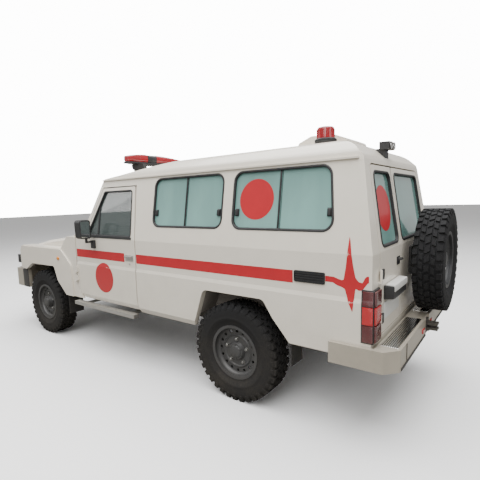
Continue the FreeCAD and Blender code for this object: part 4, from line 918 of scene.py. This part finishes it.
# %% [markdown]
# ## Nose
# The front is plain: round lamps in bright rings, a slotted grille in a bright frame,
# amber corner lamps and a blank plate.

# %% Head lamps, grille frame, corner lamps and plate
def nose_face(depth):
    return lambda across, up, out=0.0: Vector((across, AXLE + depth - out, up))


grille_face = nose_face(-0.765)
for side_name, sign in (("left", 1), ("right", -1)):
    rim_ring = lathe([(0.0, 0.084), (0.012, 0.086), (0.016, 0.092), (0.012, 0.099), (0.0, 0.100)], 56)
    at = Matrix.Translation((sign * 0.545, AXLE - 0.789, 0.876)) @ Matrix.Rotation(-math.pi / 2, 4, "Z")
    piece(f"headlamp_ring_{side_name}", *moved(rim_ring, at), "body", "chrome", "wheel_steel")
    bowl = lathe([(0.001, 0.0), (0.010, 0.030), (0.010, 0.060), (0.002, 0.084), (0.000, 0.084), (0.000, 0.0)], 48,
                 closed=False)
    piece(f"headlamp_lens_{side_name}", *moved(bowl, at), "body", "clear_lens", "lamp_clear")
    corner = block(nose_face(-0.590), (sign * 0.722, sign * 0.826), (0.975, 1.045), (0.0, 0.016), (2, 2), 0.06)
    piece(f"corner_lamp_{side_name}", *corner, "body", "orange", "lamp_clear", bevel=0.004)
opening = rounded([(-0.415, 0.818), (0.415, 0.818), (0.415, 0.962), (-0.415, 0.962)], 0.02, 5)
piece("grille_frame", *ring(grille_face, opening, [(-0.008, 0.0), (-0.006, 0.012), (0.006, 0.012), (0.008, 0.0)]),
      "body", "chrome", "wheel_steel")
piece("front_plate", *block(nose_face(-0.880), (-0.26, 0.26), (0.592, 0.704), (0.002, 0.006), (1, 1)), "body",
      "trim", "cabin_trim", bevel=0.002)
for side_name, sign in (("left", 1), ("right", -1)):
    mirror_back = lambda a, b, o=0.0, s=sign: Vector((s * a, AXLE + 1.210 + o, b))
    outline = rounded([(0.920, 1.276), (1.018, 1.276), (1.020, 1.443), (0.920, 1.443)], 0.018, 5)
    count = len(outline)
    face_points = [mirror_back(p.x, p.y, 0.0022) for p in outline]
    body = f"front_door_{side_name}"
    piece(f"mirror_face_{side_name}", face_points, [tuple(range(count))], body, "mirror", "wheel_steel",
          smooth=False)
    piece(f"mirror_rim_{side_name}", *ring(mirror_back, outline, [(-0.008, 0.0), (-0.006, 0.005), (0.0, 0.0055),
                                                                 (0.002, 0.0)]), body, "black", "black_plastic")
print("nose and mirrors done")

# %% [markdown]
# ## Padding
# Seats, the attendants' bench and the stretcher are upholstered. A pad is a crowned
# closed form: flat where it rests, full in the middle, pulled in at its corners and
# along its sewn channels.

# %% A pad laid on a place
def pad(name, place, a, b, thick, finish, slot, channels=0, across=True, n=22):
    verts, faces = [], []
    for layer in (0, 1):
        for j in range(n + 1):
            for i in range(n + 1):
                u, v = 2 * i / n - 1, 2 * j / n - 1
                pull = 1 - 0.035 * (abs(u) ** 6 + abs(v) ** 6) * layer
                crown = (1 - abs(u) ** 5) ** 0.5 * (1 - abs(v) ** 5) ** 0.5
                depth = 0.0 if layer == 0 else thick * (0.45 + 0.55 * crown)
                if layer and channels:
                    along = (v if across else u) * (channels + 1) / 2 + (channels + 1) / 2
                    near = abs(along - round(along))
                    if 0.5 < along < channels + 0.5:
                        depth -= 0.20 * thick * math.exp(-(near / 0.07) ** 2)
                mid_a, mid_b = (a[0] + a[1]) / 2, (b[0] + b[1]) / 2
                verts.append(place(mid_a + (a[1] - a[0]) / 2 * u * pull, mid_b + (b[1] - b[0]) / 2 * v * pull, depth))
    w = n + 1
    at = lambda layer, j, i: layer * w * w + j * w + i
    for layer in (0, 1):
        faces += [(at(layer, j, i), at(layer, j, i + 1), at(layer, j + 1, i + 1), at(layer, j + 1, i))
                  for j in range(n) for i in range(n)]
    for i in range(n):
        for edge in (0, n):
            faces.append((at(0, edge, i), at(0, edge, i + 1), at(1, edge, i + 1), at(1, edge, i)))
            faces.append((at(0, i, edge), at(0, i + 1, edge), at(1, i + 1, edge), at(1, i, edge)))
    made = piece(name, verts, faces, "body", finish, slot)
    made.data.shade_smooth()
    return made


def seat_back(x):
    """The front of a seat's backrest: across, and up its slope."""
    return lambda a, b, out=0.0: Vector((x + a, AXLE + 1.640 + 0.14 * (b - 0.92) - out, b))


# %% Front seats
for side_name, sign in (("left", 1), ("right", -1)):
    x = sign * 0.400
    pad(f"seat_cushion_{side_name}", flat(x, AXLE, 0.850), (-0.25, 0.25), (1.150, 1.640), 0.115, "cloth",
        "seat_cover", channels=3)
    pad(f"seat_back_{side_name}", seat_back(x), (-0.235, 0.235), (0.900, 1.400), 0.085, "cloth", "seat_cover",
        channels=4)
    pad(f"head_rest_{side_name}", seat_back(x), (-0.12, 0.12), (1.425, 1.555), 0.055, "cloth", "seat_cover")
    behind = lambda a, b, out=0.0, s=seat_back(x): s(a, b, -out)
    shell = [block(flat(x, AXLE, 0), (-0.20, 0.20), (1.20, 1.60), (0.6905, 0.850), (1, 1), 0.04),
             block(behind, (-0.22, 0.22), (0.86, 1.40), (0.001, 0.060), (1, 4), 0.05),
             block(behind, (-0.010, 0.010), (1.395, 1.470), (0.005, 0.020), (1, 1))]
    base = piece(f"seat_base_{side_name}", *merged(*shell), "body", "black", "black_plastic", bevel=0.006)
    if sign == 1:
        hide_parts("front_seats")
print("front seats done")

# %% Bench cushion, stretcher frame and mattress
pad("bench_cushion", flat(0, AXLE, 1.1202), (-0.775, -0.365), (1.970, 3.890), 0.060, "vinyl", "seat_cover",
    channels=3)
pad("mattress", flat(0, AXLE, 1.036), (0.095, 0.545), (2.040, 3.840), 0.078, "vinyl", "seat_cover", channels=4)
rails = [block(flat(0, AXLE, 0), (x, x + 0.030), (2.020, 3.860), (1.004, 1.034), (1, 1)) for x in (0.080, 0.530)]
rails += [block(flat(0, AXLE, 0), (0.085, 0.555), (y, y + 0.030), (1.006, 1.034), (1, 1))
          for y in (2.022, 2.55, 3.10, 3.828)]
rails += [block(flat(0, AXLE, 0), (x, x + 0.030), (y, y + 0.034), (0.6905, 1.006), (1, 1))
          for x in (0.100, 0.510) for y in (2.150, 3.650)]
stretcher = piece("stretcher_frame", *merged(*rails), "body", "alloy", "step_alloy", bevel=0.004)
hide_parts("stretcher")
print("patient space done")

# %% [markdown]
# ## Light, floor and camera
# A broad overhead lamp and a soft sky light the truck as an overcast noon would, with
# weaker lamps off its left side, tail and nose. The camera alone sees the sky and floor
# as near white: to every other ray they are dim, so the underside stays dark. The
# camera stands at eye height off the tail's left corner.

# %% Studio
FLOOR_HALF = 60.0
SKY_LIGHT, SKY_SEEN = 0.50, 14.0                              # its strength as a light, and to the camera
FLOOR_BOUNCE, FLOOR_SEEN = (0.22, 0.215, 0.20, 1), (1.0, 1.0, 1.0, 1)


def studio_material():
    """A matt floor that the camera sees as white."""
    material = bpy.data.materials.new("studio_floor")
    material.use_nodes = True
    shader = material.node_tree.nodes["Principled BSDF"]
    shader.inputs["Roughness"].default_value = 0.9
    seen = material.node_tree.nodes.new("ShaderNodeLightPath").outputs["Is Camera Ray"]
    tone = add(material.node_tree, "ShaderNodeMix", {"data_type": "RGBA", 6: FLOOR_BOUNCE, 7: FLOOR_SEEN}, i0=seen)
    material.node_tree.links.new(tone.outputs[2], shader.inputs["Base Color"])
    return material


floor_mesh = bpy.data.meshes.new("floor")
floor_mesh.from_pydata([(x * FLOOR_HALF, y * FLOOR_HALF, -0.001) for x, y in ((-1, -1), (1, -1), (1, 1), (-1, 1))],
                       [], [(0, 1, 2, 3)])
floor_mesh.materials.append(studio_material())
floor = bpy.data.objects.new("floor", floor_mesh)
bpy.context.scene.collection.objects.link(floor)
world = bpy.data.worlds.new("sky")
bpy.context.scene.world = world
world.use_nodes = True
sky = world.node_tree.nodes["Background"]
seen = world.node_tree.nodes.new("ShaderNodeLightPath")
level = add(world.node_tree, "ShaderNodeMapRange", {"To Min": SKY_LIGHT, "To Max": SKY_SEEN},
            Value=seen.outputs["Is Camera Ray"])
world.node_tree.links.new(level.outputs["Result"], sky.inputs["Strength"])
sky.inputs["Color"].default_value = (1.0, 0.995, 0.985, 1)


def lamp(name, at, look, size, power):
    """A round area lamp aimed at a point."""
    data = bpy.data.lights.new(name, "AREA")
    data.shape, data.size, data.energy = "DISK", size, power
    thing = bpy.data.objects.new(name, data)
    thing.location = at
    thing.rotation_euler = (Vector(look) - Vector(at)).to_track_quat("-Z", "Y").to_euler()
    bpy.context.scene.collection.objects.link(thing)


lamp("overhead", (0.5, 0.5, 9.0), (0, 0, 0), 14.0, 2300)
lamp("key", (6.5, 3.0, 6.0), (0, 0, 0.9), 5.0, 260)
lamp("tail_fill", (0.5, 8.5, 4.5), (0, 2, 1.0), 4.0, 90)
lamp("nose_fill", (4.0, -8.0, 5.0), (0, -1, 1.0), 5.0, 90)

# %% Camera
YAW, PITCH, ROLL = math.radians(52.28), math.radians(6.85), math.radians(-1.747)
right = Vector((-math.cos(YAW), math.sin(YAW), 0))
ahead = Vector((-math.sin(YAW) * math.cos(PITCH), -math.cos(YAW) * math.cos(PITCH), -math.sin(PITCH)))
up = right.cross(ahead)
turn_right = right * math.cos(ROLL) + up * math.sin(ROLL)
turn_up = up * math.cos(ROLL) - right * math.sin(ROLL)
lens_data = bpy.data.cameras.new("view")
lens_data.lens = 28.25
lens_data.shift_x, lens_data.shift_y = 0.017, 0.011
camera = bpy.data.objects.new("view", lens_data)
camera.matrix_world = Matrix.Translation((3.106, AXLE + 4.761, 1.615)) @ Matrix(
    (turn_right, turn_up, -ahead)).transposed().to_4x4()
bpy.context.scene.collection.objects.link(camera)
bpy.context.scene.camera = camera

# %% Count the pieces
print(len(made_pieces), "pieces")
